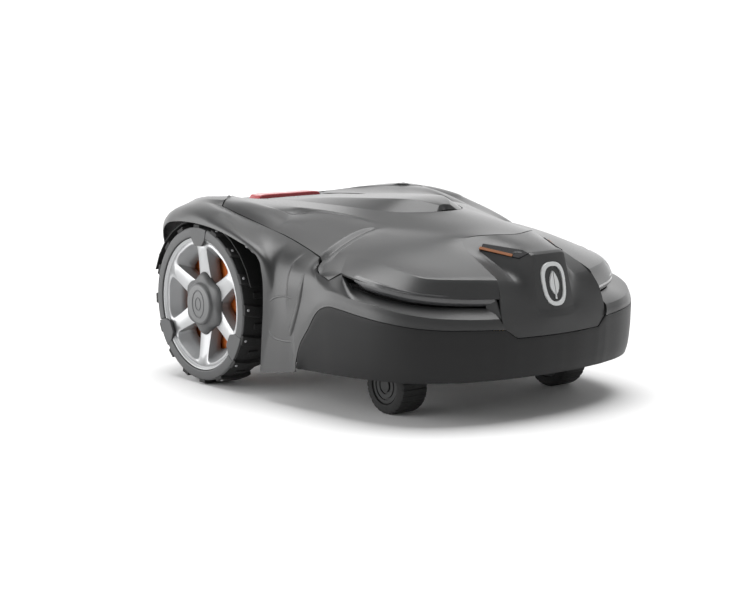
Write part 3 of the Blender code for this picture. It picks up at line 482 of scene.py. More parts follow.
TOP = named_points({
    # spine and the rows beside it, from the nose edge back to the hatch opening
    "a": [(0, -212.6, 203.2), (24, -206, 204.8), (45, -191.5, 203.6), (62.5, -177.5, 199.5)],
    "b": [(0, -178, 209.2), (28, -172, 208.2), (50, -162, 205.5), (65.5, -150, 202.5)],
    "c": [(0, -142, 215.5), (31, -136, 214.5), (54, -126, 210.5), (70, -118, 205)],
    "d": [(0, -109, 222.8), (34, -83.5, 221), (52, -62.5, 220.2), (78.5, -92.5, 205.6)],
    # deck strip between the hatch opening and the ridge
    "e": [(63.5, -38, 221.2), (80.5, -64, 209.8)],
    "f": [(69, 0, 222.4), (86, -23, 215)],
    "g": [(70.5, 35, 222.8), (96, 8, 218.8)],
    "h": [(70, 80, 222.6), (109, 33, 221.2)],
    "i": [(68.5, 125, 221.8), (124, 65, 222.6)],
    "j": [(66.5, 175, 220), (138.5, 102, 223.6)],
    # foot of the ridge
    "k": [(83.5, -64, 207.8), (88.5, -23, 213.3), (98.5, 8, 217.2), (111, 30, 218), (128.5, 52, 212),
          (137, 75, 219)],
    # wing panel
    "l": [(90, -68.5, 205.6), (103, -55, 204.6), (133, -55, 194), (164, -64, 183.8), (179, -72.5, 178.5)],
    "m": [(108, -20, 209.5), (138, -20, 201), (171.2, -22.8, 188.8)],
    "n": [(118, 5, 213), (142, 8, 206.5), (169.2, 9.7, 195.6)],
    "o": [(133, 36, 213), (150, 26, 208.5)],
    # fender part of the cover
    "p": [(134, 49, 214.5), (152, 30, 208.5), (170, 30, 198.8)],
    "q": [(139.5, 69, 220.8), (157, 63, 216), (170.2, 59, 204.8)],
    "r": [(148, 99, 225), (163, 97, 220.5), (171, 94, 211.5)],
    "s": [(151, 128, 227.6), (164, 126, 224), (171.4, 124, 217.6)],
    # rear deck
    "t": [(66, 205, 218), (110, 170, 224), (140, 148, 227.8), (162.5, 144.2, 227), (171.4, 136.5, 220.5)],
    "u": [(65, 234, 215.8), (95.4, 223.6, 220.7), (106, 206.5, 224.8), (143.4, 160, 229)],
    "v": [(65, 256, 214), (84.2, 242.5, 218.4), (74, 261, 214.6)],
    "w": [(30, 256.5, 214.2), (0, 256.5, 214.2)],
    "x": [(40, 266, 214.2), (0, 266.4, 214)],
    # front panel, from the nose's slanting seam to the brow's crease
    "A": [(73.5, -260.7, 161.5), (103, -247, 162.9), (132, -229.9, 163.8), (146, -212.8, 164.8)],
    "B": [(69, -220, 180), (96, -213, 177.5), (126, -200, 173.5), (153, -182.2, 170.8)],
    "C": [(95, -170, 192.5), (127, -160, 186), (157, -140, 178.8)],
    "D": [(100, -130, 199), (130, -122, 191.5), (160, -99, 181.8)],
    "E": [(94, -80, 204), (108, -74, 201.5), (133, -78, 193.5), (161, -84, 183.2)],
    # floor of the channel
    "F": [(92, -71.5, 204), (106, -60, 199), (134, -62, 188.5), (164, -72, 178), (181, -79, 173)],
    # brow
    "G": [(79, -270.4, 142), (108, -254.5, 142), (138, -236.9, 144.2), (159, -216.5, 147.2),
          (179, -189, 153.5), (191.5, -153, 161.2), (194.5, -131.1, 166.8), (199.5, -114.9, 157),
          (200.5, -100, 162.1), (196, -88, 168)],
})
# The cage's faces: grids between whole rows, single faces, and the chains of sharp edges
TOP_GRIDS = (("abcd", 3), ("efghij", 1), ("mn", 2), ("pqrs", 2), ("AB", 3), ("CD", 2), ("EF", 3),
             ("Fl", 4), ("GA", 3))
TOP_FACES = (
    "d2 d3 e1 e0,d3 l0 k0 e1,e1 k0 k1 f1,f1 k1 k2 g1,g1 k2 k3 h1,h1 k3 k4 i1,i1 k4 k5 j1,l0 l1 m0 k0,"
    "l1 l2 m1 m0,l2 l3 m2 m1,l3 l4 m2,k0 m0 k1,k1 m0 n0 k2,k2 n0 o0 k3,k3 o0 p0 k4,n0 n1 o1 o0,"
    "o0 o1 p1 p0,n1 n2 p2 o1,o1 p2 p1,k4 p0 q0 k5,k5 q0 r0 j1,j1 r0 s0,j0 j1 t1 t0,j1 s0 t2 t1,"
    "s0 s1 t3 t2,s1 s2 t4 t3,t0 t1 u1 u0,t1 t2 u2 u1,t2 t3 u3 u2,u0 u1 v1 v0,v0 v1 v2,v0 v2 x0 w0,"
    "w0 x0 x1 w1,B0 B1 C0 a3,B1 B2 C1 C0,B2 B3 C2 C1,a3 C0 D0 b3,b3 D0 E0 c3,D0 D1 E2 E1,D0 E1 E0,"
    "D1 D2 E3 E2,c3 E0 d3,d3 E0 F0 l0,A3 G3 G4 B3,B3 G4 G5 C2,C2 G5 G6 D2,D2 G6 G8 E3,G6 G7 G8,"
    "E3 G8 G9 F3,F3 G9 F4")
TOP_SHARP = (
    "a0 a1 a2 a3 B0 A0,A0 A1 A2 A3 B3 C2 D2 E3,G0 G1 G2 G3 G4 G5 G6,G6 G7 G8 G9 F4,A0 G0,E3 G8,"
    "d0 d1 d2 e0 f0 g0 h0 i0 j0 t0 u0 v0 w0 w1,k0 k1 k2 k3 k4,f1 g1 h1 i1,e1 f1,"
    "l0 l1 l2 l3 l4,F0 F1 F2 F3 F4,E1 E2 E3 F3,l4 m2 n2 p2 q2 r2 s2 t4 t3 u3 u2,u2 u1 v1 v2 x0 x1,"
    "p2 p1 p0,k4 p0,p0 q0,G6 D2,l4 F4,k5 q0")


def make_top_cover():
    faces = [face.split() for face in TOP_FACES.split(",")]
    for letters, columns in TOP_GRIDS:
        faces += grid_faces(letters, columns)
    cage_piece("top_cover_skin", TOP, faces, pairs(TOP_SHARP), "cover", ["top_cover"])


# ---- wheels
# A place on a rear wheel is a distance out from its middle, a radius and an angle from the top to the front.

WHEEL_X, WHEEL_Y, WHEEL_Z = 0.1904, 0.1315, 0.101
LUGS = 16
LUG_PHASE = radians(22)
LUG_LEAN = radians(1.76)     # slant of a lug, forwards at its middle and back at its ends
LUG_FOOT, LUG_TOP = radians(4.4), radians(3.5)               # half widths
LUG_STATIONS = (             # across the tyre: out, share of the slant, foot and top radius
    (-0.0222, -1, 0.095, 0.0995), (-0.012, -0.4, 0.0962, 0.1008), (0, 0.35, 0.0962, 0.101),
    (0.012, -0.4, 0.0962, 0.1008), (0.0224, -1, 0.0925, 0.0992))
PAD_TURN = radians(11.2)     # from a lug to the low pad next to it
PAD_FOOT, PAD_TOP = radians(2.6), radians(2.0)               # half widths
STUD_TURN = radians(1.6)
STUD_RINGS = ((0, 0.0019), (0.0011, 0.0018), (0.0017, 0.0012), (0.0019, 0.0004))   # lift, radius
TYRE_PROFILE = ((-0.021, 0.0832), (-0.0225, 0.09), (-0.0205, 0.0955), (-0.01, 0.0966), (0.01, 0.0966),
                (0.0195, 0.0955), (0.0208, 0.093), (0.0205, 0.0832))
RING_R = 0.0957              # outer edge of the grey side ring
RIM_R = 0.0828
RING_SECTION = ((0.02, RIM_R + 0.0006), (0.0226, RIM_R + 0.0006), (0.0232, RIM_R + 0.0016),
                (0.0232, 0.0905), (0.0226, 0.094), (0.0214, RING_R), (0.02, RING_R))
RING_GAP = radians(0.55)
TAB_FOOT, TAB_TIP = radians(10.6), radians(6.3)              # half widths
WINDOW_STEPS = 36
WINDOW_MIDDLE = 0.052        # radius of the middle of the opening between two spokes
WINDOW_CORNERS = ((-0.0262, 0.0655), (-0.0135, 0.0735), (0.0135, 0.0735), (0.0262, 0.0655),
                  (0.005, 0.0335), (-0.005, 0.0335))
# the opening's deep walls: scale, shift towards the hub and depth
WINDOW_WALLS = ((0.955, -0.0008, 0.0035), (0.8, -0.0035, 0.01), (0.66, -0.007, 0.0165))
HALF_SECTOR = pi / 6
FACE_INNER, FACE_OUTER = 0.026, 0.0795
CAP_LEVELS = (               # out, radius, height of the six lobes
    (0.0105, 0.037, 0.003), (0.014, 0.0366, 0.003), (0.0172, 0.0345, 0.0028),
    (0.0188, 0.031, 0.0022), (0.0196, 0.0276, 0.0008), (0.0206, 0.0262, 0),
    (0.0226, 0.0256, 0), (0.0236, 0.0247, 0), (0.024, 0.0232, 0))
MARK_TALL = 1.35             # height of the cap's oval rings over their width


def circle(count):
    return [2 * pi * k / count for k in range(count)]


def wheel_point(sign, out, radius, angle):
    return (sign * (WHEEL_X + out), WHEEL_Y - radius * sin(angle), WHEEL_Z + radius * cos(angle))


def join_rings(bm, rings):
    """Quads between neighbouring rings of points, each ring closed on itself."""
    for low, high in zip(rings, rings[1:]):
        for i in range(len(low)):
            k = (i + 1) % len(low)
            bm.faces.new((low[i], low[k], high[k], high[i]))


def turned(profile, place, count=96, closed=True):
    """A turned body from (out, radius) pairs; place gives the position for out, radius and angle."""
    bm = bmesh.new()
    rings = [[bm.verts.new(place(out, radius, angle)) for angle in circle(count)] for out, radius in profile]
    join_rings(bm, rings + rings[:1] if closed else rings)
    return bm


def strip_prism(bm, loops):
    """A closed body through loops of equal length, capped at both ends."""
    rings = [[bm.verts.new(p) for p in loop] for loop in loops]
    join_rings(bm, rings)
    bm.faces.new(rings[0][::-1])
    bm.faces.new(rings[-1])


def tread_section(place, out, angle, foot, top, foot_half, top_half):
    return [place(out, foot, angle - foot_half), place(out, top, angle - top_half),
            place(out, top, angle + top_half), place(out, foot, angle + foot_half)]


def make_tyre(side, sign, body):
    place = partial(wheel_point, sign)
    tyre = finish_piece("tyre_skin_" + side, turned(TYRE_PROFILE, place, 120), body, "tyre",
                        ["tyre_" + side], 50)
    round_edges(tyre, 0.0008)
    bm = bmesh.new()
    for turn in circle(LUGS):
        a = LUG_PHASE + turn
        strip_prism(bm, [tread_section(place, out, a + share * LUG_LEAN, foot, top, LUG_FOOT, LUG_TOP)
                         for out, share, foot, top in LUG_STATIONS])
        strip_prism(bm, [tread_section(place, out, a + PAD_TURN, 0.096, 0.0986, PAD_FOOT, PAD_TOP)
                         for out in (-0.007, 0.007)])
    lugs = finish_piece("tyre_lugs_" + side, bm, body, "tyre", (), 30)
    round_edges(lugs, 0.0007)
    bm = bmesh.new()
    for turn in circle(LUGS):
        a = LUG_PHASE + turn - STUD_TURN
        centre = Vector(place(0.0178, 0.099, a))
        outward, sideways = Vector((0, -sin(a), cos(a))), Vector((0, cos(a), sin(a)))
        strip_prism(bm, [[centre + outward * lift + sideways * radius * cos(t)
                          + Vector((sign * radius * sin(t), 0, 0)) for t in circle(10)]
                         for lift, radius in STUD_RINGS])
    finish_piece("tyre_studs_" + side, bm, body, "stud", (), 40)


def make_side_ring(side, sign, body):
    """The grey side ring in three arcs, with a trapezoid tab at the head of each."""
    place = partial(wheel_point, sign)
    bm = bmesh.new()
    steps = 44
    sweep = 2 * pi / 3 - 2 * TAB_FOOT - RING_GAP
    for tab in circle(3):
        start = tab + TAB_FOOT + RING_GAP
        strip_prism(bm, [[place(out, r, start + sweep * k / steps) for out, r in RING_SECTION]
                         for k in range(steps + 1)])
    ring = finish_piece("tyre_ring_" + side, bm, body, "ring", (), 25)
    round_edges(ring, 0.0004)
    bm = bmesh.new()
    for tab in circle(3):
        loops = []
        for out, grow in ((0.02, 0), (0.023, 0), (0.0235, -0.0006)):
            loop = [place(out - (0.0002 if k in (0, 8) else 0), RING_R - 0.0002 + grow,
                          tab + TAB_FOOT * (k / 4 - 1)) for k in range(9)]
            for a, r in ((TAB_FOOT, RIM_R + 0.0006), (TAB_TIP, 0.0738), (TAB_TIP * 0.8, 0.0729),
                         (-TAB_TIP * 0.8, 0.0729), (-TAB_TIP, 0.0738), (-TAB_FOOT, RIM_R + 0.0006)):
                loop.append(place(out, r - grow, tab + a))
            loops.append(loop)
        strip_prism(bm, loops)
    tabs = finish_piece("tyre_tabs_" + side, bm, body, "ring", (), 25)
    round_edges(tabs, 0.0004)


def dish(radius):
    """How far out the rim's face stands at a radius."""
    return 0.012 + 0.0065 * min(1.0, max(0.0, (radius - 0.03) / 0.048))


def window_loop(scale, shift, angle):
    """The rounded opening between two spokes, blunt towards the hub, as (radius, angle) pairs."""
    count = len(WINDOW_CORNERS)
    centre = Vector((0, WINDOW_MIDDLE))
    points = []
    for k in range(WINDOW_STEPS):
        place = k * count / WINDOW_STEPS
        i = int(place)
        before, a, b, after = [Vector(WINDOW_CORNERS[(i + j) % count]) for j in (-1, 0, 1, 2)]
        q = blend(a, (b - before) * 0.32, b, (after - a) * 0.32, place - i)
        q = centre + (q - centre) * scale + Vector((0, shift))
        points.append((hypot(q.x, q.y), angle + atan2(q.x, q.y)))
    return points


def sector_edge(radius, angle):
    """Where the ray from the window's middle through a point leaves the sector round the window."""
    turn = atan2(radius * sin(angle), radius * cos(angle) - WINDOW_MIDDLE)
    near, far = 0.0, 0.2
    for _ in range(26):
        test = (near + far) / 2
        x, y = sin(turn) * test, WINDOW_MIDDLE + cos(turn) * test
        inside = FACE_INNER < hypot(x, y) < FACE_OUTER and abs(atan2(x, y)) < HALF_SECTOR and y > 0
        near, far = (test, far) if inside else (near, test)
    x, y = sin(turn) * near, WINDOW_MIDDLE + cos(turn) * near
    return hypot(x, y), atan2(x, y)


def make_rim(side, sign, body):
    """The six-spoke face with the deep walls of its openings, the lip and the barrel."""
    place = partial(wheel_point, sign)
    rim = Surface()

    def bridge(low, high, material=0):
        for i in range(len(low)):
            k = (i + 1) % len(low)
            rim.quad([low[i], low[k], high[k], high[i]], material)

    window = window_loop(1.0, 0.0, 0.0)
    outer = [sector_edge(*point) for point in window]
    for sector in range(6):
        middle = (2 * sector + 1) * HALF_SECTOR
        rings = []
        for share in (0.0, 0.12, 1.0):
            ring = []
            for (r0, a0), (r1, a1) in zip(window, outer):
                x = r0 * sin(a0) * (1 - share) + r1 * sin(a1) * share
                y = r0 * cos(a0) * (1 - share) + r1 * cos(a1) * share
                r, a = hypot(x, y), atan2(x, y)
                if share == 1.0:
                    r, a = r1, max(-HALF_SECTOR, min(HALF_SECTOR, a1))
                ring.append(rim.vert(place(dish(r) - (0.0007 if share == 0 else 0), r, middle + a)))
            rings.append(ring)
        bridge(rings[1], rings[0])
        bridge(rings[2], rings[1])
        wall = rings[0]
        for scale, shift, depth in WINDOW_WALLS:
            deeper = [rim.vert(place(dish(r) - depth, r, a)) for r, a in window_loop(scale, shift, middle)]
            bridge(wall, deeper, 1)
            wall = deeper
    bm = rim.bm
    bmesh.ops.remove_doubles(bm, verts=bm.verts, dist=0.0004)
    turn_faces(bm, lambda face: face.normal.x * sign)
    face = adopt(mesh_from("rim_face_" + side, bm), body, "rim", ["rim_" + side], 35)
    face.data.materials.append(MATS["window"])
    thicken(face, 0.0012)
    lip = ((dish(0.079), 0.0788), (0.0198, 0.0806), (0.021, 0.0816), (0.0214, 0.0824), (0.0206, RIM_R),
           (0.01, RIM_R), (0.01, 0.081), (0.0165, 0.0795))
    finish_piece("rim_lip_" + side, turned(lip, place, 120), body, "rim", (), 40)
    inner, outer = 0.0795, RIM_R - 0.0003
    barrel = ((0.009, outer), (-0.0205, outer), (-0.0205, inner), (0.009, inner))
    finish_piece("rim_barrel_" + side, turned(barrel, place), body, "window", (), 40)


def make_hub_cap(side, sign, body):
    """Lobed hub cap with a raised round face and two plain oval rings on it; its sides get a darker grey than
    the face, which is painted shade.
    """
    place = partial(wheel_point, sign)
    bm = bmesh.new()
    strip_prism(bm, [[place(out, radius + lobe * cos(6 * a), a) for a in circle(96)]
                     for out, radius, lobe in CAP_LEVELS])
    # the end faces take the lighter grey; the lobed sides keep the darker grey, which is painted shade
    for face in bm.faces:
        if len(face.verts) > 4:
            face.material_index = 1
    cap = finish_piece("hub_cap_skin_" + side, bm, body, "cap", ["hub_cap_" + side], 50)
    cap.data.materials.append(MATS["cap_face"])
    bm = bmesh.new()
    for inner, outer in ((0.0118, 0.0134), (0.005, 0.0064)):
        rings = [[bm.verts.new(place(out, radius * hypot(sin(a), MARK_TALL * cos(a)),
                                     atan2(sin(a), MARK_TALL * cos(a)))) for a in circle(64)]
                 for out, radius in ((0.0236, inner), (0.0245, inner + 0.0003), (0.0245, outer - 0.0003),
                                     (0.0236, outer))]
        join_rings(bm, rings + rings[:1])
    finish_piece("hub_cap_mark_" + side, bm, body, "cap", (), 40)


def make_wheels():
    for side, sign in SIDES:
        for make in (make_tyre, make_side_ring, make_rim, make_hub_cap):
            make(side, sign, "wheel_" + side)


# ---- hatch, stop button

HATCH = named_points({       # from the back edge forwards to the tip
    "a": [(0, 200, 218.6), (50, 200, 218.3), (65.2, 200, 217.6)],
    "b": [(0, 150, 220.8), (50, 150, 221.3), (66.4, 150, 220.4)],
    "c": [(0, 85, 227.2), (48, 80, 228.3), (69, 80, 222.2)],
    "d": [(0, 30, 231.5), (46, 20, 231.8), (69.4, 25, 222.2)],
    "e": [(0, -17, 235), (41, -28, 234.2), (64, -33, 220.8)],
    "f": [(0, -49, 236.2), (30, -54, 235.2), (51, -60.5, 220.2)],
    "g": [(0, -72, 233), (19, -74, 232.2), (34.5, -81.5, 220.6)],
    "h": [(0, -86, 229.6), (9, -87.5, 228), (16, -92.2, 221.6)],
    "i": [(0, -89, 222.6), (5, -92.2, 222.6)],
})


def make_hatch():
    faces = grid_faces("abcdefgh", 2) + [("h0", "h1", "i1", "i0"), ("h1", "h2", "i1")]
    sharp = pairs("a0 a1 a2 b2 c2 d2 e2 f2 g2 h2 i1 i0,c1 d1 e1 f1 g1 h1 h2,h0 h1,b1 c1")
    cage_piece("hatch_skin", HATCH, faces, sharp, "hatch", ["hatch"])


BAR_FOOT = 0.213
BAR_ENDS = (                 # half length, front, back and top
    (0.052, 0.225, 0.251, 0.2146), (0.049, 0.2258, 0.2504, 0.2196), (0.04, 0.2262, 0.25, 0.2206))
BAR_MIDDLE = (0, 0.2262, 0.25, 0.2204)


def make_stop_button():
    """A red bar with slanting ends and a shallow hollow along its top."""
    bm = bmesh.new()
    loops = []
    for x, y0, y1, top in [(-x, *rest) for x, *rest in BAR_ENDS] + [BAR_MIDDLE, *BAR_ENDS[::-1]]:
        loops.append([(x, y0, BAR_FOOT), (x, y0 + 0.001, top - 0.001), (x, y0 + 0.003, top),
                      (x, (y0 + y1) / 2, top - 0.0008), (x, y1 - 0.003, top), (x, y1 - 0.001, top - 0.001),
                      (x, y1, BAR_FOOT)])
    strip_prism(bm, loops)
    round_edges(finish_piece("stop_bar", bm, "stop_button", "red", ["stop_button"]), 0.001, 3)


BAY_X, BAY_FRONT, BAY_BACK = 0.064, 0.2012, 0.2562          # outline of the deck round the button
HOLE_X, HOLE_FRONT, HOLE_BACK = 0.053, 0.2236, 0.2524       # the opening for the button
BAY_TOP, BAY_SLOPE, BAY_DEEP = 0.2166, 0.046, 0.004


def make_stop_bay():
    """The frame of the deck round the stop button."""
    bm = bmesh.new()
    for x0, x1, y0, y1 in ((-BAY_X, BAY_X, BAY_FRONT, HOLE_FRONT), (-BAY_X, BAY_X, HOLE_BACK, BAY_BACK),
                           (-BAY_X, -HOLE_X, HOLE_FRONT, HOLE_BACK), (HOLE_X, BAY_X, HOLE_FRONT, HOLE_BACK)):
        front, back = [BAY_TOP - BAY_SLOPE * (y - BAY_FRONT) for y in (y0, y1)]
        strip_prism(bm, [[(x, y0, front - BAY_DEEP), (x, y0, front), (x, y1, back), (x, y1, back - BAY_DEEP)]
                         for x in (x0, x1)])
    round_edges(finish_piece("stop_bay", bm, "cover", "body", ()), 0.0005)


# ---- lamps and emblem

STRIP_PATH = metres([
    (82.6, -265.5, 142.4), (108, -250.8, 142.4), (137.5, -233.5, 144.4), (157.5, -214, 147.2),
    (176.5, -187, 153.5), (185.8, -164, 158.5), (189, -150, 161.2)])
LENS = metres([
    (48.8, -206.6, 195.8), (57, -210.7, 189), (37.9, -247.6, 182.3), (34.2, -254.7, 181),
    (25.2, -262.4, 187.3), (25.7, -252, 190.4)])
AMBER = metres([
    (53.5, -209.4, 192), (56.6, -211, 189.7), (38.4, -246.2, 182.9), (36.7, -246.4, 185.5)])
LENS_OUT = Vector((0.6, -0.42, 0.68)).normalized()
SLOT_END = metres([
    (81.8, -276.8, 119.6), (90.5, -260.2, 131), (90.5, -258.5, 142), (81.8, -266.5, 142.4)])


def make_headlight(side, sign):
    """A lens strip that hangs under the brow's edge, follows it round and tapers at its far end."""
    bm = bmesh.new()
    loops = []
    path = curve_points(STRIP_PATH, 5)
    last = len(path) - 1
    for i, (x, y, z) in enumerate(path):
        ahead = path[min(i + 1, last)] - path[max(i - 1, 0)]
        out = Vector((-ahead.y, ahead.x, 0)).normalized() * (-1 if -ahead.y * x + ahead.x * y < 0 else 1)
        drop = 0.0085 - 0.001 * max(0, i - last + 4)
        section = ((-0.004, 0.0035), (0.0008, 0.003), (0.0018, -drop * 0.35), (0.0012, -drop * 0.75),
                   (-0.0008, -drop), (-0.004, -drop))
        loops.append([(sign * (x + out.x * o), y + out.y * o, z + h) for o, h in section])
    strip_prism(bm, loops)
    finish_piece("headlight_strip_" + side, bm, "cover", "lamp", ["headlight_" + side], 45)


def plate(name, points, sign, out, low, high, finish, replaces, inwards, edge):
    """A thin plate over an outline, standing between two heights along a direction."""
    middle = sum((Vector(p) for p in points), Vector()) / len(points)
    bm = bmesh.new()
    loops = [[Vector(p).lerp(middle, share) + out * height for p in points]
             for height, share in ((low, 0.0), (high, inwards))]
    strip_prism(bm, [[(sign * p.x, p.y, p.z) for p in loop] for loop in loops])
    round_edges(finish_piece(name, bm, "cover", finish, replaces, 30), edge)


def make_nose_lamp(side, sign):
    """The plate that ends the headlight slot, and the dark lens and amber line in the nose."""
    plate("slot_end_" + side, SLOT_END, sign, Vector((0.89, -0.45, 0)), -0.002, 0.0004, "body",
          (), 0.0, 0.0004)
    plate("nose_lens_" + side, LENS, sign, LENS_OUT, -0.004, 0.0016, "lens_dark",
          ["nose_lamp_" + side], 0.06, 0.0005)
    plate("nose_amber_" + side, AMBER, sign, LENS_OUT, -0.001, 0.0021, "amber",
          (), 0.0, 0.0002)


BADGE_Y, BADGE_Z = -0.2755, 0.1527       # middle of the emblem
BOSS_LEAN, BOSS_BULGE = 0.235, 3.0       # the boss's front leans back and curves round
FRAME_OUTER, FRAME_INNER = (0.018, 0.0245), (0.0136, 0.02)
FRAME_BACK, FRAME_FRONT, LEAF_FRONT = -0.001, 0.0012, 0.0011
LEAF_SHARES = (0, 0.1, 0.25, 0.4, 0.55, 0.7, 0.85, 1)
STEM = ((-0.001, -0.017), (0.001, -0.017), (0.001, -0.0118), (-0.001, -0.0118))


def badge_point(u, v, out):
    """A point of the emblem: across, up and out of the boss's leaning front."""
    return (u, BADGE_Y + BOSS_LEAN * (v - 0.0023) + BOSS_BULGE * u * u - out, BADGE_Z + v)


def rounded_outline(half_width, half_height, power=2.6, waist=0.08):
    """A superellipse that is a little narrower towards its foot."""
    points = []
    for angle in circle(48):
        c, s = cos(angle), sin(angle)
        v = half_height * abs(s) ** (2 / power) * (1 if s >= 0 else -1)
        u = half_width * abs(c) ** (2 / power) * (1 if c >= 0 else -1)
        points.append((u * (1 + waist * v / half_height), v))
    return points


def make_badge():
    """A plain silver frame with a leaf in it."""
    bm = bmesh.new()
    outer, inner = rounded_outline(*FRAME_OUTER), rounded_outline(*FRAME_INNER)
    rings = [[bm.verts.new(badge_point(u, v, out)) for u, v in loop]
             for loop, out in ((outer, FRAME_BACK), (outer, FRAME_FRONT), (inner, FRAME_FRONT),
                               (inner, FRAME_BACK))]
    join_rings(bm, rings + rings[:1])
    for lean in (-1, 1):
        half = [(lean * (0.0005 + 0.0078 * sin(pi * t) ** 0.8 * (1 - 0.35 * t)), -0.0125 + 0.027 * t)
                for t in LEAF_SHARES]
        loop = half + [(lean * 0.0005, v) for u, v in reversed(half[1:-1])]
        strip_prism(bm, [[badge_point(u, v, out) for u, v in loop] for out in (FRAME_BACK, LEAF_FRONT)])
    strip_prism(bm, [[badge_point(u, v, out) for u, v in STEM] for out in (FRAME_BACK, LEAF_FRONT)])
    round_edges(finish_piece("badge_frame", bm, "cover", "badge", ["nose_badge"], 30), 0.0002)


# ---- casters

CASTER_AT = (0.128, -0.153, 0.034)
CASTER_TREAD = (             # out, radius
    (-0.017, 0.0225), (-0.0172, 0.03), (-0.0155, 0.0328), (-0.013, 0.0339), (0, 0.034),
    (0.0165, 0.0339), (0.0195, 0.033), (0.0212, 0.03), (0.0214, 0.0225), (0.018, 0.0215),
    (-0.015, 0.0215))
CASTER_FACE = (
    (-0.015, 0.0045), (-0.015, 0.0214), (0.018, 0.0214), (0.02, 0.021), (0.0202, 0.017),
    (0.019, 0.0165), (0.019, 0.015), (0.0202, 0.0145), (0.0202, 0.01), (0.0186, 0.0095),
    (0.0186, 0.008), (0.0206, 0.0075), (0.021, 0.0), (0.012, 0.0), (0.012, 0.0045))
TREAD_CUT = 0.0009           # depth of the grooves across the tread
TREAD_CUT_FROM = 0.0325      # radius above which they cut
TREAD_CUT_SHARE = 0.18
TREAD_COUNT = 28


def make_caster(side, sign):
    x, y, z = CASTER_AT

    def at(out, radius, angle):
        groove = radius > TREAD_CUT_FROM and (angle * TREAD_COUNT / (2 * pi)) % 1.0 < TREAD_CUT_SHARE
        radius -= TREAD_CUT if groove else 0.0
        return (sign * (x + out), y + radius * cos(angle), z + radius * sin(angle))

    body = "caster_wheel_" + side
    finish_piece("caster_tread_" + side, turned(CASTER_TREAD, at, TREAD_COUNT * 8), body, "tyre",
                 ["caster_tyre_" + side], 40)
    finish_piece("caster_face_" + side, turned(CASTER_FACE, at, 64, False), body, "black",
                 ["caster_hub_" + side], 30)


# ---- pillar mouldings

BEADS = {                    # half width, height and path as (y, z)
    "ridge": (0.0042, 0.0022, ((-0.0735, 0.164), (-0.0725, 0.148), (-0.069, 0.128), (-0.0625, 0.106),
                               (-0.056, 0.09), (-0.053, 0.084))),
    "lower_arc": (0.0016, 0.0008, ((-0.0115, 0.094), (-0.014, 0.085), (-0.022, 0.0795),
                                   (-0.036, 0.0775), (-0.052, 0.0785), (-0.064, 0.08))),
    "upper_arc": (0.0016, 0.0008, ((-0.011, 0.118), (-0.02, 0.1255), (-0.033, 0.1295),
                                   (-0.048, 0.13), (-0.062, 0.1285))),
}
BEAD_HALF_STEPS = 4


def make_beads(side, sign):
    """Raised mouldings that lie on the pillar, each dropped onto the shell along X."""
    shell = BVHTree.FromObject(bpy.data.objects["body_shell_skin"], bpy.context.evaluated_depsgraph_get())
    for name, (half, lift, path) in BEADS.items():
        line = curve_points([(0, y, z) for y, z in path], 6)
        last = len(line) - 1
        bm = bmesh.new()
        rows = []
        for i, here in enumerate(line):
            along = (line[min(i + 1, last)] - line[max(i - 1, 0)]).normalized()
            across = Vector((0, -along.z, along.y))
            fade = min(1.0, 4 * min(i, last - i) / len(line))
            row = []
            for k in range(-BEAD_HALF_STEPS, BEAD_HALF_STEPS + 1):
                share = k / BEAD_HALF_STEPS
                spot = here + across * half * (0.35 + 0.65 * fade) * share
                hit = shell.ray_cast(Vector((sign * 0.25, spot.y, spot.z)), Vector((-sign, 0, 0)))[0]
                rise = lift * fade * (1 - share ** 2) ** 0.7 - 0.0003
                row.append(bm.verts.new((hit.x + sign * rise, spot.y, spot.z)))
            rows.append(row)
        for low, high in zip(rows, rows[1:]):
            for k in range(2 * BEAD_HALF_STEPS):
                bm.faces.new((low[k], low[k + 1], high[k + 1], high[k]))
        finish_piece("pillar_" + name + "_" + side, bm, "cover", "body", (), 60)


# ---- finish of the carried-over nodes

NODE_LOOKS = {
    "black": "chassis_lid battery_cover skid_plate height_carriage jog_dial caster_fork_*",
    "bumper": "chassis_tub cover_post_*",
    "arch": "wheel_arch_*",
    "seal": "hull_seal",
    "pack": "battery_pack",
    "board": "main_board",
    "motor": "cutting_motor wheel_motor_* lift_actuator",
    "steel": "lift_arm blade_disc disc_bolt blade_screw_* axle_* caster_bearing_*",
    "blade": "blade_?",
    "orange": "hub_disc_*",
    "copper": "charging_contact_*",
    "display": "display_unit",
    "button": "start_button",
}


def dress_nodes():
    """Give each node that no piece replaces its material."""
    nodes = frame["nodes"]
    for look, patterns in NODE_LOOKS.items():
        for pattern in patterns.split():
            for name in fnmatch.filter(nodes, pattern):
                for slot in nodes[name].material_slots:
                    slot.link = "OBJECT"
                    slot.material = MATS[look]


# ---- camera and set

CAMERA_AT = (-1.4228, -1.6929, 0.4413)
CAMERA_DOWN, CAMERA_TURN = 8.7512, -39.2904                  # degrees
LENS_MM = 85.106
FLOOR_REACH = 40.0
# The world is white round the horizon and darker above, and brighter behind the machine than in front:
# axis, where the change starts and ends, and the strength there
SKY_RAMPS = (("Z", 0.42, 0.72, 1.0, 0.22), ("Y", -0.2, 0.4, 0.55, 1.75))


def aim(az, el, distance, target):
    """A place seen from an azimuth and elevation around a target."""
    a, e = radians(az), radians(el)
    return Vector(target) + Vector((sin(a) * cos(e), -cos(a) * cos(e), sin(e))) * distance


def place_light(name, kind, power, az, el, distance, target):
    """A light at a place round a target, turned towards it."""
    data = bpy.data.lights.new(name, kind)
    data.energy = power
    obj = new_object(name, data)
    obj.location = aim(az, el, distance, target)
    obj.rotation_euler = (Vector(target) - obj.location).to_track_quat("-Z", "Y").to_euler()
    return data


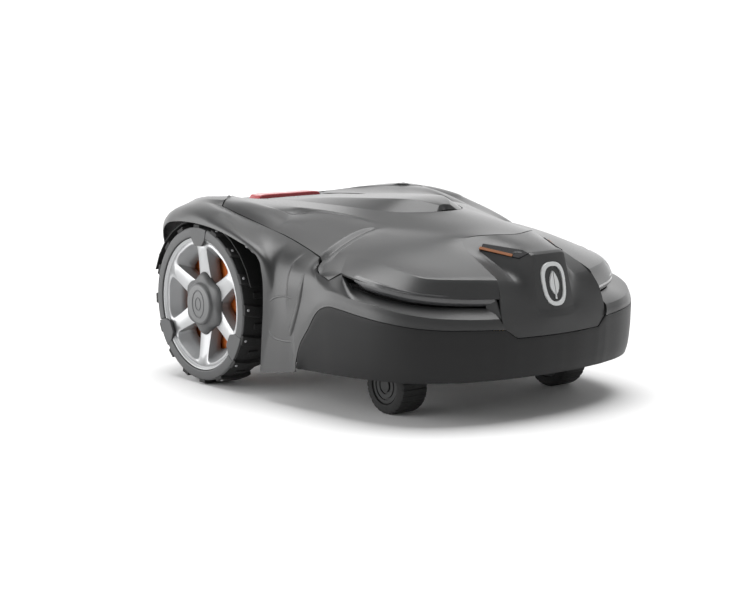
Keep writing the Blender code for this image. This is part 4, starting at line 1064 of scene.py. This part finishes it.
def make_world():
    world = bpy.data.worlds.new("studio")
    world.use_nodes = True
    tree = world.node_tree
    sky = tree.nodes["Background"]
    place = add_node(tree, "ShaderNodeTexCoord")
    split = add_node(tree, "ShaderNodeSeparateXYZ")
    tree.links.new(place.outputs["Generated"], split.inputs["Vector"])
    both = add_node(tree, "ShaderNodeMath", operation="MULTIPLY")
    for number, (axis, *values) in enumerate(SKY_RAMPS):
        tree.links.new(ramp(tree, split.outputs[axis], *values), both.inputs[number])
    tree.links.new(both.outputs[0], sky.inputs["Strength"])
    sky.inputs["Color"].default_value = (1, 1, 1, 1)
    bpy.context.scene.world = world


def make_floor():
    mesh = bpy.data.meshes.new("floor")
    mesh.from_pydata([(x * FLOOR_REACH, y * FLOOR_REACH, 0) for x, y in ((-1, -1), (1, -1), (1, 1), (-1, 1))],
                     [], [(0, 1, 2, 3)])
    mesh.materials.append(plastic("floor_paper", (0.78, 0.78, 0.78), 0.9, 60, 0.01, 0.01))
    floor = new_object("floor", mesh)


def make_camera():
    camera = new_object("camera", bpy.data.cameras.new("camera"))
    camera.location = CAMERA_AT
    camera.rotation_euler = (radians(90 - CAMERA_DOWN), 0, radians(CAMERA_TURN))
    camera.data.sensor_width = 36
    camera.data.lens = LENS_MM
    camera.data.clip_start = 0.05
    bpy.context.scene.camera = camera


def make_set():
    bpy.context.scene.view_settings.view_transform = "Standard"
    make_world()
    make_floor()
    make_camera()
    sun = place_light("key_sun", "SUN", 3.3, 125, 80, 3, (0, 0, 0))
    sun.angle = radians(50)
    bank = place_light("left_bank", "AREA", 36, -118, 9, 2.2, (0, 0, 0.1))
    bank.shape = "RECTANGLE"
    bank.size, bank.size_y = 2.6, 1.5


def make_machine():
    for make in (make_bumper, make_body_shell, make_nose, make_top_cover, make_wheels, make_hatch,
                 make_stop_button, make_stop_bay):
        make()
    bpy.context.view_layer.update()
    for side, sign in SIDES:
        for make in (make_headlight, make_nose_lamp, make_caster, make_beads):
            make(side, sign)
    make_badge()
    dress_nodes()


make_machine()
make_set()
bpy.context.view_layer.update()
